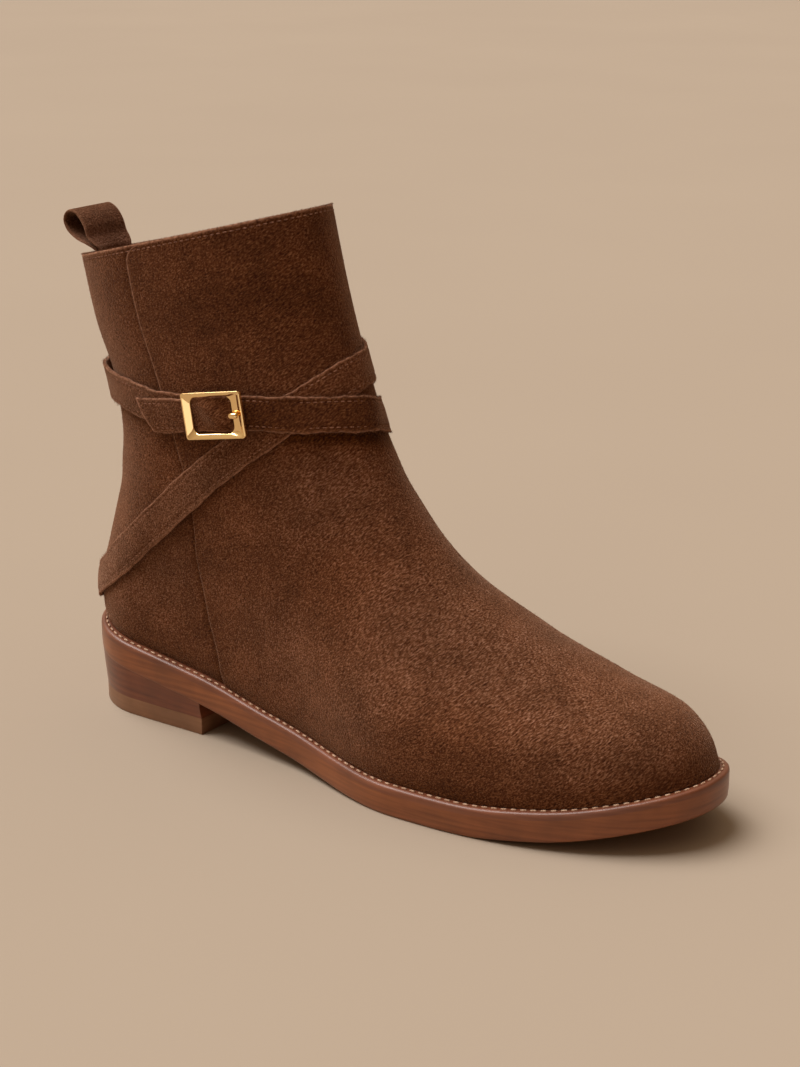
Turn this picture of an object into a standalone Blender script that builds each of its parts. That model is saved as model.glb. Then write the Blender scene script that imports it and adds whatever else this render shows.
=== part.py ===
"""Right ankle boot of brown suede: buckled straps, zip on the inner side, welted leather sole, stacked heel.

Boot coordinates are millimetres: x from the back of the sole to the toe, y towards the inner side, z up.
A turn goes round the boot in degrees: heel back 0, outer side 90, front 180, inner side 270.
A level goes up the upper, from the welt at 0 to the collar at 1.
"""

import bmesh
import bpy
import numpy as np
from mathutils import Matrix, Vector

MM = 0.001


def table(columns, rows):
    """Named columns from rows of numbers."""
    return dict(zip(columns.split(), np.array(rows, float).T))


# Driving sizes, in millimetres
BOX_CENTRE = (126.93, 0.41)
GAP = 0.3

SOLE_LENGTH = 272.0
SOLE_EDGE = 11.6
WELT_THICK = 3.0
WELT_WIDTH = 9.5
HEEL_SEAT_ROUND = 32.0
TOE_ROUND = 96.0
TOE_POWER = 2.24
TOE_SWING = 8.9
SWING_START = 140.0
SOLE_PLAN = table(
    "x outer inner",
    [
        (0, 32.4, 32.4),
        (32, 32.4, 32.4),
        (75, 31.4, 31.4),
        (112, 33.4, 29.4),
        (170, 44.6, 41.9),
        (190, 44.5, 43.9),
        (272, 43.3, 42.6),
    ],
)
SOLE_PROFILE = table(
    "x welt_top",
    [
        (0, 34.8),
        (40, 29.2),
        (70, 24.4),
        (100, 18.2),
        (140, 12.8),
        (165, 11.6),
        (195, 11.6),
        (225, 14.2),
        (272, 24.2),
    ],
)

HEEL_BREAST = 68.0
TOP_PIECE = 6.8
STACK_INSET = 0.8
HEEL_FOOT_INSET = 1.5

INSOLE_INSET = 10.2
INSOLE_FLANGE_INSET = 8.0
INSOLE_RISE = 2.8

WALL = 1.8
PANEL_STEP = 0.8
WELT_LEDGE = 3.6
COLLAR_BACK = 178.0
COLLAR_RISE = 0.258
UPPER = table(
    "level back front half heel_round front_round bulge shaft",
    [
        (0.00, 1.2, 268.1, 32.0, 32, 92, 0.0, 0.00),
        (0.04, 0.7, 264.9, 32.0, 32, 94, 1.6, 0.00),
        (0.09, 0.4, 257.0, 32.0, 32, 100, 1.8, 0.00),
        (0.15, 1.2, 235.0, 32.0, 33, 115, 1.0, 0.12),
        (0.22, 4.2, 205.0, 32.0, 34, 128, 0.0, 0.34),
        (0.30, 7.7, 174.6, 31.5, 36, 118, 0.0, 0.60),
        (0.40, 11.6, 152.0, 31.0, 38, 92, 0.0, 0.86),
        (0.52, 13.3, 134.0, 31.0, 40, 74, 0.0, 1.00),
        (0.66, 10.4, 122.8, 31.5, 42, 64, 0.0, 1.00),
        (0.82, 1.8, 112.9, 32.5, 44, 60, 0.0, 1.00),
        (1.00, -4.5, 104.4, 33.5, 46, 58, 0.0, 1.00),
    ],
)
SEAM = table(
    "level turn",
    [(0.00, 65.3), (0.11, 66.1), (0.18, 68.2), (0.26, 71.8), (0.35, 76.1), (0.47, 78.7), (0.65, 77.4),
     (0.93, 79.0), (0.98, 80.5), (1.00, 84.0)],
)
ZIP_FOOT = 0.10
ZIP = table(
    "level turn half_width",
    [(0.00, 287.0, 3.4), (0.10, 284.6, 3.5), (0.33, 273.8, 4.1), (0.48, 270.2, 4.5), (0.73, 268.4, 4.8),
     (1.00, 267.8, 4.9)],
)
ZIP_THICK = 1.4
ZIP_SUNK = 0.2
ZIP_SIDE_GAP = 0.42
ZIP_CHAIN_FOOT = 0.106
ZIP_CHAIN_TOP = 0.985

STRAP_WIDTH = 13.0
STRAP_THICK = 1.8
ON_BACK = GAP
ON_HEEL = GAP + 0.3
ON_FRONT = PANEL_STEP + GAP
OVER_STRAP = ON_FRONT + STRAP_THICK + GAP
DIAGONAL_PATH = table(
    "turn height lift",
    [
        (262.5, 147.2, ON_FRONT),
        (248.0, 147.4, ON_FRONT),
        (225.0, 147.4, ON_FRONT),
        (203.0, 147.2, ON_FRONT),
        (185.0, 146.9, ON_FRONT),
        (167.0, 144.7, ON_FRONT),
        (146.5, 139.0, ON_FRONT),
        (123.0, 128.0, ON_FRONT),
        (92.7, 109.0, ON_FRONT),
        (74.0, 94.9, ON_FRONT),
        (66.0, 88.2, ON_FRONT),
        (55.0, 78.3, ON_HEEL),
        (45.0, 69.2, ON_HEEL),
        (28.0, 54.2, ON_HEEL),
        (12.0, 45.3, ON_HEEL),
        (-4.0, 42.5, ON_HEEL),
        (-24.0, 41.7, ON_HEEL),
    ],
)
FRONT_PATH = table(
    "turn height lift",
    [
        (262.5, 116.0, ON_FRONT),
        (240.0, 121.6, ON_FRONT),
        (220.0, 125.4, ON_FRONT),
        (205.0, 127.7, ON_FRONT),
        (190.0, 129.9, ON_FRONT + 0.9),
        (177.0, 131.5, OVER_STRAP),
        (150.0, 133.3, OVER_STRAP),
        (120.0, 133.2, OVER_STRAP),
        (103.0, 131.5, OVER_STRAP),
        (83.0, 128.1, OVER_STRAP),
        (68.0, 125.8, OVER_STRAP - PANEL_STEP / 2),
    ],
)
TIP_SLANT = 4.4
BACK_PATH = table(
    "turn height lift",
    [
        (273.6, 142.3, ON_BACK),
        (290.0, 139.8, ON_BACK),
        (315.0, 137.2, ON_BACK + 0.6),
        (345.0, 134.6, ON_BACK + 2.2),
        (375.0, 132.8, ON_BACK + 2.2),
        (405.0, 131.4, ON_BACK + 0.4),
        (425.0, 130.2, ON_BACK),
        (436.0, 129.6, ON_FRONT),
        (456.0, 130.3, ON_FRONT),
    ],
)

BUCKLE_TURN = 103.2
BUCKLE_HEIGHT = 131.4
BUCKLE_LENGTH = 25.4
BUCKLE_DEPTH = 17.6
BUCKLE_END_BAR = 3.9
BUCKLE_SIDE_BAR = 2.0
BUCKLE_THICK = 1.8
BUCKLE_LIFT = 4.9
BUCKLE_CORNER = 0.8
BUCKLE_OPENING_CORNER = 1.2
BUCKLE_SIGHT = 8.0
PRONG_RADIUS = 0.9
PRONG_LIFT = BUCKLE_THICK / 2 + GAP + PRONG_RADIUS
PRONG_ROUTE = table(
    "past_bar out",
    [(-4.0, 0.7), (-1.6, 1.0), (0.4, PRONG_LIFT), (BUCKLE_END_BAR - 0.6, PRONG_LIFT)],
)

LOOP_TURN = 356.8
LOOP_WIDTH = 20.0
LOOP_THICK = 1.2
LOOP_TAIL = 8.0
LOOP_THROAT = 7.0
LOOP_PROFILE = table(
    "out up",
    [
        (-2.75, -LOOP_TAIL),
        (-2.75, 0.2),
        (-1.9, 1.7),
        (1.0, 3.2),
        (6.0, 4.6),
        (10.3, 7.2),
        (12.3, 11.0),
        (11.1, 14.3),
        (7.6, 15.6),
        (3.6, 14.0),
        (0.4, 10.3),
        (-1.3, 6.2),
        (-3.3, 3.4),
        (-4.4, 0.8),
        (-4.4, -LOOP_TAIL),
    ],
)

SLIDER_HEIGHT = 185.6
SLIDER_LENGTH = 11.0
SLIDER_WIDTH = 10.4
SLIDER_LIFT = 1.2
SLIDER_THICK = 2.6
SLIDER_CORNER = 2.4
SLIDER_TAPER = 2.4
BRIDGE_WIDTH = 2.6
BRIDGE_CORNER = 1.1
BRIDGE_ROOM_CORNER = 0.5
BRIDGE_SUNK = 1.2
BRIDGE_THICK = 1.2
BRIDGE_LENGTH = 8.8
BRIDGE_ROOM = 2.4
PULL_AXIS_UP = 1.2
PULL_LENGTH = 31.0
PULL_TOP_WIDTH = 7.6
PULL_FOOT_WIDTH = 6.6
PULL_THICK = 1.5
PULL_SLOT_WIDTH = 3.8
PULL_SLOT_LENGTH = 9.5
PULL_HOLE = (3.6, 4.4)
PULL_FOOT_BAR = 1.6
PULL_CORNER = 0.7
PULL_SLOT_CORNER = 0.4
PULL_HOLE_CORNER = 0.5

# Fineness of the meshes
SOLE_STEPS = 36
UPPER_ROWS_LOW = 5
UPPER_ROWS_HIGH = 21
LOW_CROWDING = 1.2
HIGH_CROWDING = 1.15
BACK_OUTER_CELLS = 8
FRONT_OUTER_CELLS = 14
FRONT_INNER_CELLS = 13
ZIP_CELLS = 2
BACK_INNER_CELLS = 10
ZIP_ROWS = 26
LOOP_ROWS = 36
LOOP_COLUMNS = 5


def smooth(x, xs, ys):
    """Monotone cubic through table rows, held level beyond the first and last row."""
    x = np.asarray(x, float)
    step = np.diff(xs)
    slope = np.diff(ys) / step
    tangent = np.zeros_like(ys)
    same_way = slope[:-1] * slope[1:] > 0
    before = 2 * step[1:] + step[:-1]
    after = step[1:] + 2 * step[:-1]
    with np.errstate(divide="ignore", invalid="ignore"):
        mean = (before + after) / (before / slope[:-1] + after / slope[1:])
    tangent[1:-1] = np.where(same_way, mean, 0.0)
    tangent[0] = slope[0]
    tangent[-1] = slope[-1]
    row = np.clip(np.searchsorted(xs, x) - 1, 0, len(step) - 1)
    t = np.clip((x - xs[row]) / step[row], 0, 1)
    start = (1 + 2 * t) * (1 - t) ** 2 * ys[row] + t * (1 - t) ** 2 * step[row] * tangent[row]
    end = t * t * (3 - 2 * t) * ys[row + 1] + t * t * (t - 1) * step[row] * tangent[row + 1]
    return start + end


def smooth_through(x, xs, ys):
    """Rounded curve through rows that may turn back, from cubic pieces with central slopes."""
    tangent = np.gradient(ys, xs)
    row = np.clip(np.searchsorted(xs, x) - 1, 0, len(xs) - 2)
    step = xs[row + 1] - xs[row]
    t = (x - xs[row]) / step
    start = (1 + 2 * t) * (1 - t) ** 2 * ys[row] + t * (1 - t) ** 2 * step * tangent[row]
    end = t * t * (3 - 2 * t) * ys[row + 1] + t * t * (t - 1) * step * tangent[row + 1]
    return start + end


def column(rows, key, name, at):
    """One column of a table, read smoothly at a value of its first column."""
    order = np.argsort(rows[key])
    return smooth(at, rows[key][order], rows[name][order])


def round_end(t, power):
    """Rises from 0 to 1 like the end of a rounded outline."""
    t = np.clip(t, 0, 1)
    return (1 - (1 - t) ** power) ** (1 / power)


def unit(vectors):
    return vectors / np.linalg.norm(vectors, axis=-1, keepdims=True)


# Sole and upper as functions
def welt_top(x):
    return column(SOLE_PROFILE, "x", "welt_top", x)


def sole_bottom(x):
    return welt_top(x) - SOLE_EDGE


def collar(x):
    return COLLAR_BACK + COLLAR_RISE * x


def swing(x):
    """Sideways curve of the sole's middle line towards the inner side at the toe."""
    return TOE_SWING * np.clip((x - SWING_START) / (SOLE_LENGTH - SWING_START), 0, None) ** 2


def plan_half(x, turn):
    """Half width of the sole, on the outer or the inner side."""
    x = np.clip(x, 0, SOLE_LENGTH)
    outer = column(SOLE_PLAN, "x", "outer", x)
    inner = column(SOLE_PLAN, "x", "inner", x)
    return np.where(np.sin(turn) >= 0, outer, inner)


def side_sign(turn):
    return np.where(np.sin(turn) >= 0, -1.0, 1.0)


def sole_outline(inset):
    """Closed plan outline of the sole, moved inwards by the inset."""
    turn = np.linspace(0, 2 * np.pi, 2 * SOLE_STEPS, endpoint=False)
    x = SOLE_LENGTH * (1 - np.cos(turn)) / 2
    half = plan_half(x, turn) * round_end(x / HEEL_SEAT_ROUND, 2)
    half = half * round_end((SOLE_LENGTH - x) / TOE_ROUND, TOE_POWER)
    plan = np.stack([x, swing(x) + side_sign(turn) * half], -1)
    along = unit(np.roll(plan, -1, 0) - np.roll(plan, 1, 0))
    return plan + inset * np.stack([-along[:, 1], along[:, 0]], -1)


def sole_loop(inset, height):
    """Outline at an inset, lifted to a height that is a function of x."""
    plan = sole_outline(inset)
    return np.column_stack([plan, height(plan[:, 0])])


def heel_loop(inset, height):
    """Outline of the heel: rounded back, straight breast."""
    swept = np.linspace(0, np.pi / 2, SOLE_STEPS // 2 + 1)
    x = inset + (HEEL_BREAST - inset) * (1 - np.cos(swept))
    half = column(SOLE_PLAN, "x", "outer", x) - inset
    half = half * round_end((x - inset) / (HEEL_SEAT_ROUND - inset), 2)
    outer = np.column_stack([x, -half, height(x)])
    inner = np.column_stack([x, half, height(x)])
    return np.concatenate([outer, inner[:0:-1]])


def upper_x(turn, level):
    back = column(UPPER, "level", "back", level)
    front = column(UPPER, "level", "front", level)
    return back + (front - back) * (1 - np.cos(turn)) / 2


def upper_base(turn, level):
    """Outer face of the back panel: slices that tilt from the welt's line to the collar's line."""
    x = upper_x(turn, level)
    back = column(UPPER, "level", "back", level)
    front = column(UPPER, "level", "front", level)
    shaft = column(UPPER, "level", "shaft", level)
    foot = plan_half(x, turn) - WELT_LEDGE + column(UPPER, "level", "bulge", level)
    body = (1 - shaft) * foot + shaft * column(UPPER, "level", "half", level)
    heel_end = round_end((x - back) / column(UPPER, "level", "heel_round", level), 2)
    front_power = TOE_POWER + (2 - TOE_POWER) * shaft
    front_end = round_end((front - x) / column(UPPER, "level", "front_round", level), front_power)
    y = swing(x) * (1 - shaft) + side_sign(turn) * body * heel_end * front_end
    low = welt_top(x) + GAP
    return np.stack([x, y, low + level * (collar(x) - low)], -1)


def upper_slopes(turn, level):
    """Change of the outer face for a radian of turn and for a whole level."""
    step = 0.02
    rise = 0.004
    up = np.minimum(level + rise, 1)
    down = np.maximum(level - rise, 0)
    per_turn = (upper_base(turn + step, level) - upper_base(turn - step, level)) / (2 * step)
    per_level = (upper_base(turn, up) - upper_base(turn, down)) / (up - down)[..., None]
    return per_turn, per_level


def upper_normal(turn, level):
    per_turn, per_level = upper_slopes(turn, level)
    return unit(np.cross(per_turn, per_level))


def on_upper(turn, level, lift):
    """Point at a lift off the outer face of the back panel."""
    turn, level, lift = np.broadcast_arrays(turn, level, lift)
    return upper_base(turn, level) + lift[..., None] * upper_normal(turn, level)


def level_at(turn, height):
    """Level at which the outer face has this height at this turn."""
    level = np.full(np.shape(height), 0.6)
    for _ in range(14):
        x = upper_x(turn, level)
        low = welt_top(x) + GAP
        level = (height - low) / (collar(x) - low)
    return level


def zip_edges(level):
    """Turns of the zip slot's front and rear edge."""
    middle = np.radians(column(ZIP, "level", "turn", level))
    back = column(UPPER, "level", "back", level)
    front = column(UPPER, "level", "front", level)
    turn_per_mm = 2 / ((front - back) * np.abs(np.sin(middle)))
    half = column(ZIP, "level", "half_width", level) * turn_per_mm
    return middle - half, middle + half


# Meshes and objects
parts = bpy.data.collections.new("ankle_boot")
helpers = bpy.data.collections.new("ankle_boot_helpers")


def clear_scene():
    for old in list(bpy.data.objects):
        bpy.data.objects.remove(old)
    for group in (parts, helpers):
        bpy.context.scene.collection.children.link(group)


def finish(name, colour, roughness, metallic=0.0):
    """Principled material of one piece."""
    material = bpy.data.materials.new(name)
    material.use_nodes = True
    shader = material.node_tree.nodes["Principled BSDF"]
    shader.inputs["Base Color"].default_value = (*colour, 1.0)
    shader.inputs["Roughness"].default_value = roughness
    shader.inputs["Metallic"].default_value = metallic
    return material


def to_world(points):
    """Boot coordinates to metres, with the origin below the middle of the boot's box."""
    return (np.asarray(points, float) - (*BOX_CENTRE, 0.0)) * MM


def solid(name, points, faces, material):
    """Object from a closed set of faces, all turned outwards."""
    mesh = bpy.data.meshes.new(name)
    mesh.from_pydata(to_world(points).tolist(), [], faces)
    work = bmesh.new()
    work.from_mesh(mesh)
    loose = [corner for corner in work.verts if not corner.link_faces]
    bmesh.ops.delete(work, geom=loose, context="VERTS")
    bmesh.ops.recalc_face_normals(work, faces=work.faces)
    work.to_mesh(mesh)
    work.free()
    mesh.materials.append(material)
    mesh.shade_smooth()
    mesh.set_sharp_from_angle(angle=np.radians(40))
    piece = bpy.data.objects.new(name, mesh)
    parts.objects.link(piece)
    return piece


def band(count, first, second):
    """Quads between two closed loops."""
    return [
        (first + j, first + (j + 1) % count, second + (j + 1) % count, second + j) for j in range(count)
    ]


def cap(count, first):
    """Strips across a loop whose points j and count - j face each other."""
    faces = []
    for j in range(1, count // 2 + 1):
        ring = (j - 1, j, count - j, (count - j + 1) % count)
        faces.append(tuple(first + k for k in dict.fromkeys(ring)))
    return faces


def plate(loops):
    """Closed stack of loops with a cap at each end."""
    count = len(loops[0])
    faces = cap(count, 0) + cap(count, (len(loops) - 1) * count)
    for k in range(len(loops) - 1):
        faces += band(count, k * count, (k + 1) * count)
    return np.concatenate(loops), faces


def ring(loops):
    """Loops joined one to the next and the last to the first."""
    count = len(loops[0])
    faces = []
    for k in range(len(loops)):
        faces += band(count, k * count, (k + 1) % len(loops) * count)
    return np.concatenate(loops), faces


def shell(outer, inner, present):
    """Wall between two grids that close on themselves, with rims round every cell that is left out."""
    rows, columns = outer.shape[:2]

    def at(i, j, side):
        return side * rows * columns + i * columns + j % columns

    def filled(i, j):
        return 0 <= i < rows - 1 and present[i, j % columns]

    faces = []
    for i in range(rows - 1):
        for j in range(columns):
            if not filled(i, j):
                continue
            corners = [(i, j), (i, j + 1), (i + 1, j + 1), (i + 1, j)]
            faces.append(tuple(at(*c, 0) for c in corners))
            faces.append(tuple(at(*c, 1) for c in corners[::-1]))
            beyond = [(i - 1, j), (i, j + 1), (i + 1, j), (i, j - 1)]
            for k, cell in enumerate(beyond):
                if not filled(*cell):
                    a, b = corners[k], corners[(k + 1) % 4]
                    faces.append((at(*a, 0), at(*a, 1), at(*b, 1), at(*b, 0)))
    return np.concatenate([outer.reshape(-1, 3), inner.reshape(-1, 3)]), faces


def strip(low, high):
    """Closed solid between two open grids of the same size."""
    rows, columns = low.shape[:2]
    loops = [np.concatenate([low[i], high[i, ::-1]]) for i in range(rows)]
    count = 2 * columns
    faces = []
    for end in (0, (rows - 1) * count):
        for k in range(columns - 1):
            faces.append((end + k, end + k + 1, end + count - 2 - k, end + count - 1 - k))
    for i in range(rows - 1):
        faces += band(count, i * count, (i + 1) * count)
    return np.concatenate(loops), faces


def flat_plate(name, outlines, thickness, material):
    """Flat piece of even thickness from closed outlines, the first outside and the others as holes."""
    curve = bpy.data.curves.new(name, "CURVE")
    curve.dimensions = "2D"
    curve.fill_mode = "BOTH"
    curve.extrude = thickness * MM / 2
    for outline in outlines:
        spline = curve.splines.new("POLY")
        spline.points.add(len(outline) - 1)
        for corner, (x, y) in zip(spline.points, outline):
            corner.co = (x * MM, y * MM, 0, 1)
        spline.use_cyclic_u = True
    curve.materials.append(material)
    piece = bpy.data.objects.new(name, curve)
    parts.objects.link(piece)
    return piece


def rounded(width, height, radius, centre=(0.0, 0.0), foot_width=None, steps=5):
    """Rectangle with round corners, or a taper where the foot has its own width."""
    foot_width = width if foot_width is None else foot_width
    points = []
    for k, (sx, sy) in enumerate(((1, 1), (-1, 1), (-1, -1), (1, -1))):
        half = (width if sy > 0 else foot_width) / 2 - radius
        for q in np.radians(np.linspace(0, 90, steps) + 90 * k):
            x = centre[0] + sx * half + radius * np.cos(q)
            y = centre[1] + sy * (height / 2 - radius) + radius * np.sin(q)
            points.append((x, y))
    return points


def axes_at(origin, along, up, out):
    """Placement with its own x, y and z axes at a point in boot coordinates."""
    turn = Matrix((Vector(along), Vector(up), Vector(out))).transposed().to_4x4()
    return Matrix.Translation(Vector(to_world(origin))) @ turn


def as_mesh(piece):
    """Replaces a curve object by its closed mesh, at the same place."""
    bpy.context.view_layer.update()
    evaluated = piece.evaluated_get(bpy.context.evaluated_depsgraph_get())
    mesh = bpy.data.meshes.new_from_object(evaluated)
    work = bmesh.new()
    work.from_mesh(mesh)
    bmesh.ops.remove_doubles(work, verts=work.verts, dist=1e-7)
    work.to_mesh(mesh)
    work.free()
    made = bpy.data.objects.new(piece.name, mesh)
    made.matrix_world = piece.matrix_world
    name = piece.name
    bpy.data.objects.remove(piece)
    made.name = name
    return made


# Sole
def build_sole():
    leather = finish("sole_leather", (0.21, 0.085, 0.038), 0.38)
    edge = 1.0
    under_welt = WELT_THICK + GAP
    loops = [
        sole_loop(edge, sole_bottom),
        sole_loop(0, lambda x: sole_bottom(x) + edge),
        sole_loop(0, lambda x: welt_top(x) - under_welt),
    ]
    solid("outsole", *plate(loops), leather)

    rim = 0.6
    welt_loops = [
        sole_loop(rim, welt_top),
        sole_loop(0, lambda x: welt_top(x) - rim),
        sole_loop(0, lambda x: welt_top(x) - WELT_THICK),
        sole_loop(WELT_WIDTH, lambda x: welt_top(x) - WELT_THICK),
        sole_loop(WELT_WIDTH, welt_top),
    ]
    solid("welt", *ring(welt_loops), finish("welt_leather", (0.12, 0.04, 0.02), 0.42))

    insole_loops = [
        sole_loop(INSOLE_INSET, lambda x: welt_top(x) - under_welt + GAP),
        sole_loop(INSOLE_INSET, lambda x: welt_top(x) + GAP),
        sole_loop(INSOLE_FLANGE_INSET, lambda x: welt_top(x) + GAP),
        sole_loop(INSOLE_FLANGE_INSET, lambda x: welt_top(x) + INSOLE_RISE),
    ]
    solid("insole", *plate(insole_loops), finish("insole_leather", (0.42, 0.25, 0.14), 0.6))


def build_heel():
    stack = [
        heel_loop(HEEL_FOOT_INSET, lambda x: np.full_like(x, TOP_PIECE + GAP)),
        heel_loop(STACK_INSET, lambda x: sole_bottom(x) - GAP),
    ]
    solid("heel_stack", *plate(stack), finish("stacked_leather", (0.16, 0.055, 0.028), 0.4))
    top_piece = [
        heel_loop(HEEL_FOOT_INSET, lambda x: np.zeros_like(x)),
        heel_loop(HEEL_FOOT_INSET, lambda x: np.full_like(x, TOP_PIECE)),
    ]
    solid("heel_top_piece", *plate(top_piece), finish("top_piece", (0.17, 0.085, 0.045), 0.55))


# Upper
def build_upper():
    low = ZIP_FOOT * np.linspace(0, 1, UPPER_ROWS_LOW, endpoint=False) ** LOW_CROWDING
    high = ZIP_FOOT + (1 - ZIP_FOOT) * np.linspace(0, 1, UPPER_ROWS_HIGH) ** HIGH_CROWDING
    level = np.concatenate([low, high])
    seam = np.radians(column(SEAM, "level", "turn", level))
    zip_front, zip_rear = zip_edges(level)
    edge_step = 0.006
    front_line = np.full_like(level, np.pi)
    stretches = [
        (np.zeros_like(level), seam - edge_step, BACK_OUTER_CELLS, 0.0),
        (seam, front_line, FRONT_OUTER_CELLS, PANEL_STEP),
        (front_line, zip_front, FRONT_INNER_CELLS, PANEL_STEP),
        (zip_front, zip_rear, ZIP_CELLS, PANEL_STEP),
        (zip_rear, 2 * front_line, BACK_INNER_CELLS, 0.0),
    ]
    turns = []
    lifts = []
    for start, end, cells, lift in stretches:
        count = cells if turns else cells + 1
        share = np.arange(count) / cells
        turns.append(start[:, None] + (end - start)[:, None] * share)
        lifts.append(np.full(count, lift))
    slot_from = sum(part.shape[1] for part in turns[:3])
    slot_to = slot_from + turns[3].shape[1]
    turn = np.concatenate(turns, 1)
    lift = np.concatenate(lifts)
    outer = on_upper(turn, level[:, None], lift[None, :])
    inner = on_upper(turn, level[:, None], -WALL)
    for face in (outer, inner):
        face[0, :, 2] = welt_top(face[0, :, 0]) + GAP
        face[-1, :, 2] = collar(face[-1, :, 0])
    present = np.ones((len(level) - 1, turn.shape[1]), bool)
    present[UPPER_ROWS_LOW:, slot_from:slot_to] = False
    solid("upper", *shell(outer, inner, present), finish("suede", (0.115, 0.042, 0.017), 0.95))


def build_zip_chain():
    level = np.linspace(ZIP_CHAIN_FOOT, ZIP_CHAIN_TOP, ZIP_ROWS)
    front, rear = zip_edges(level)
    back_x = column(UPPER, "level", "back", level)
    front_x = column(UPPER, "level", "front", level)
    clear = 2 * ZIP_SIDE_GAP / (front_x - back_x)
    share = np.linspace(0, 1, 3)
    turn = (front + clear)[:, None] + (rear - front - 2 * clear)[:, None] * share
    low = on_upper(turn, level[:, None], -ZIP_SUNK - ZIP_THICK)
    high = on_upper(turn, level[:, None], -ZIP_SUNK)
    solid("zip_chain", *strip(low, high), finish("zip_tape", (0.012, 0.008, 0.008), 0.6))


# Straps
def strap(name, path, samples, slant):
    """Strip along a path of turns and heights on the upper, its far end cut at a slant."""
    start = path["turn"][0]
    end = path["turn"][-1]
    across = np.array([-0.5, 0.0, 0.5]) * STRAP_WIDTH
    share = np.linspace(0, 1, samples)[:, None]
    turn_deg = start + (end + slant * across / across[-1] - start) * share

    def middle(degrees):
        turn = np.radians(degrees)
        return turn, level_at(turn, column(path, "turn", "height", degrees))

    turn, level = middle(turn_deg)
    ahead = on_upper(*middle(turn_deg + 0.5), 0.0)
    behind = on_upper(*middle(turn_deg - 0.5), 0.0)
    per_turn, per_level = upper_slopes(turn, level)
    sideways = unit(np.cross(np.cross(per_turn, per_level), ahead - behind))
    along_turn = (per_turn * sideways).sum(-1)
    along_level = (per_level * sideways).sum(-1)
    tt = (per_turn**2).sum(-1)
    tl = (per_turn * per_level).sum(-1)
    ll = (per_level**2).sum(-1)
    det = tt * ll - tl * tl
    turn = turn + across * (along_turn * ll - along_level * tl) / det
    level = level + across * (along_level * tt - along_turn * tl) / det
    lift = column(path, "turn", "lift", turn_deg)
    low = on_upper(turn, level, lift)
    high = on_upper(turn, level, lift + STRAP_THICK)
    solid(name, *strip(low, high), finish(name + "_suede", (0.11, 0.04, 0.016), 0.95))


def build_straps():
    strap("strap_diagonal", DIAGONAL_PATH, samples=64, slant=0.0)
    strap("strap_front", FRONT_PATH, samples=52, slant=-TIP_SLANT)
    strap("strap_back", BACK_PATH, samples=44, slant=0.0)


# Buckle
def build_buckle():
    brass = finish("brass", (0.83, 0.58, 0.24), 0.16, 1.0)
    turn = np.radians(BUCKLE_TURN)
    level = level_at(turn, np.array(BUCKLE_HEIGHT))
    out = upper_normal(turn, level)
    ahead_turn = np.radians(BUCKLE_TURN + BUCKLE_SIGHT)
    ahead_height = column(FRONT_PATH, "turn", "height", BUCKLE_TURN + BUCKLE_SIGHT)
    ahead = upper_base(ahead_turn, level_at(ahead_turn, ahead_height)) - upper_base(turn, level)
    up = unit(np.cross(out, ahead))
    along = np.cross(up, out)
    middle = on_upper(turn, level, BUCKLE_LIFT + BUCKLE_THICK / 2)
    frame_axes = axes_at(middle, along, up, out)

    outside = rounded(BUCKLE_LENGTH, BUCKLE_DEPTH, BUCKLE_CORNER)
    opening = (BUCKLE_LENGTH - 2 * BUCKLE_END_BAR, BUCKLE_DEPTH - 2 * BUCKLE_SIDE_BAR)
    inside = rounded(*opening, BUCKLE_OPENING_CORNER)
    frame = flat_plate("buckle_frame", [outside, inside], BUCKLE_THICK, brass)
    frame.matrix_world = frame_axes

    bar_in = BUCKLE_LENGTH / 2 - BUCKLE_END_BAR
    route = np.column_stack([bar_in + PRONG_ROUTE["past_bar"], PRONG_ROUTE["out"]])
    curve = bpy.data.curves.new("buckle_prong", "CURVE")
    curve.dimensions = "3D"
    curve.bevel_depth = PRONG_RADIUS * MM
    curve.bevel_resolution = 2
    curve.use_fill_caps = True
    spline = curve.splines.new("POLY")
    spline.points.add(len(route) - 1)
    for corner, (x, z) in zip(spline.points, route):
        corner.co = (x * MM, 0, z * MM, 1)
    curve.materials.append(finish("brass_prong", (0.83, 0.58, 0.24), 0.16, 1.0))
    prong = bpy.data.objects.new("buckle_prong", curve)
    parts.objects.link(prong)
    prong.matrix_world = frame_axes


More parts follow.
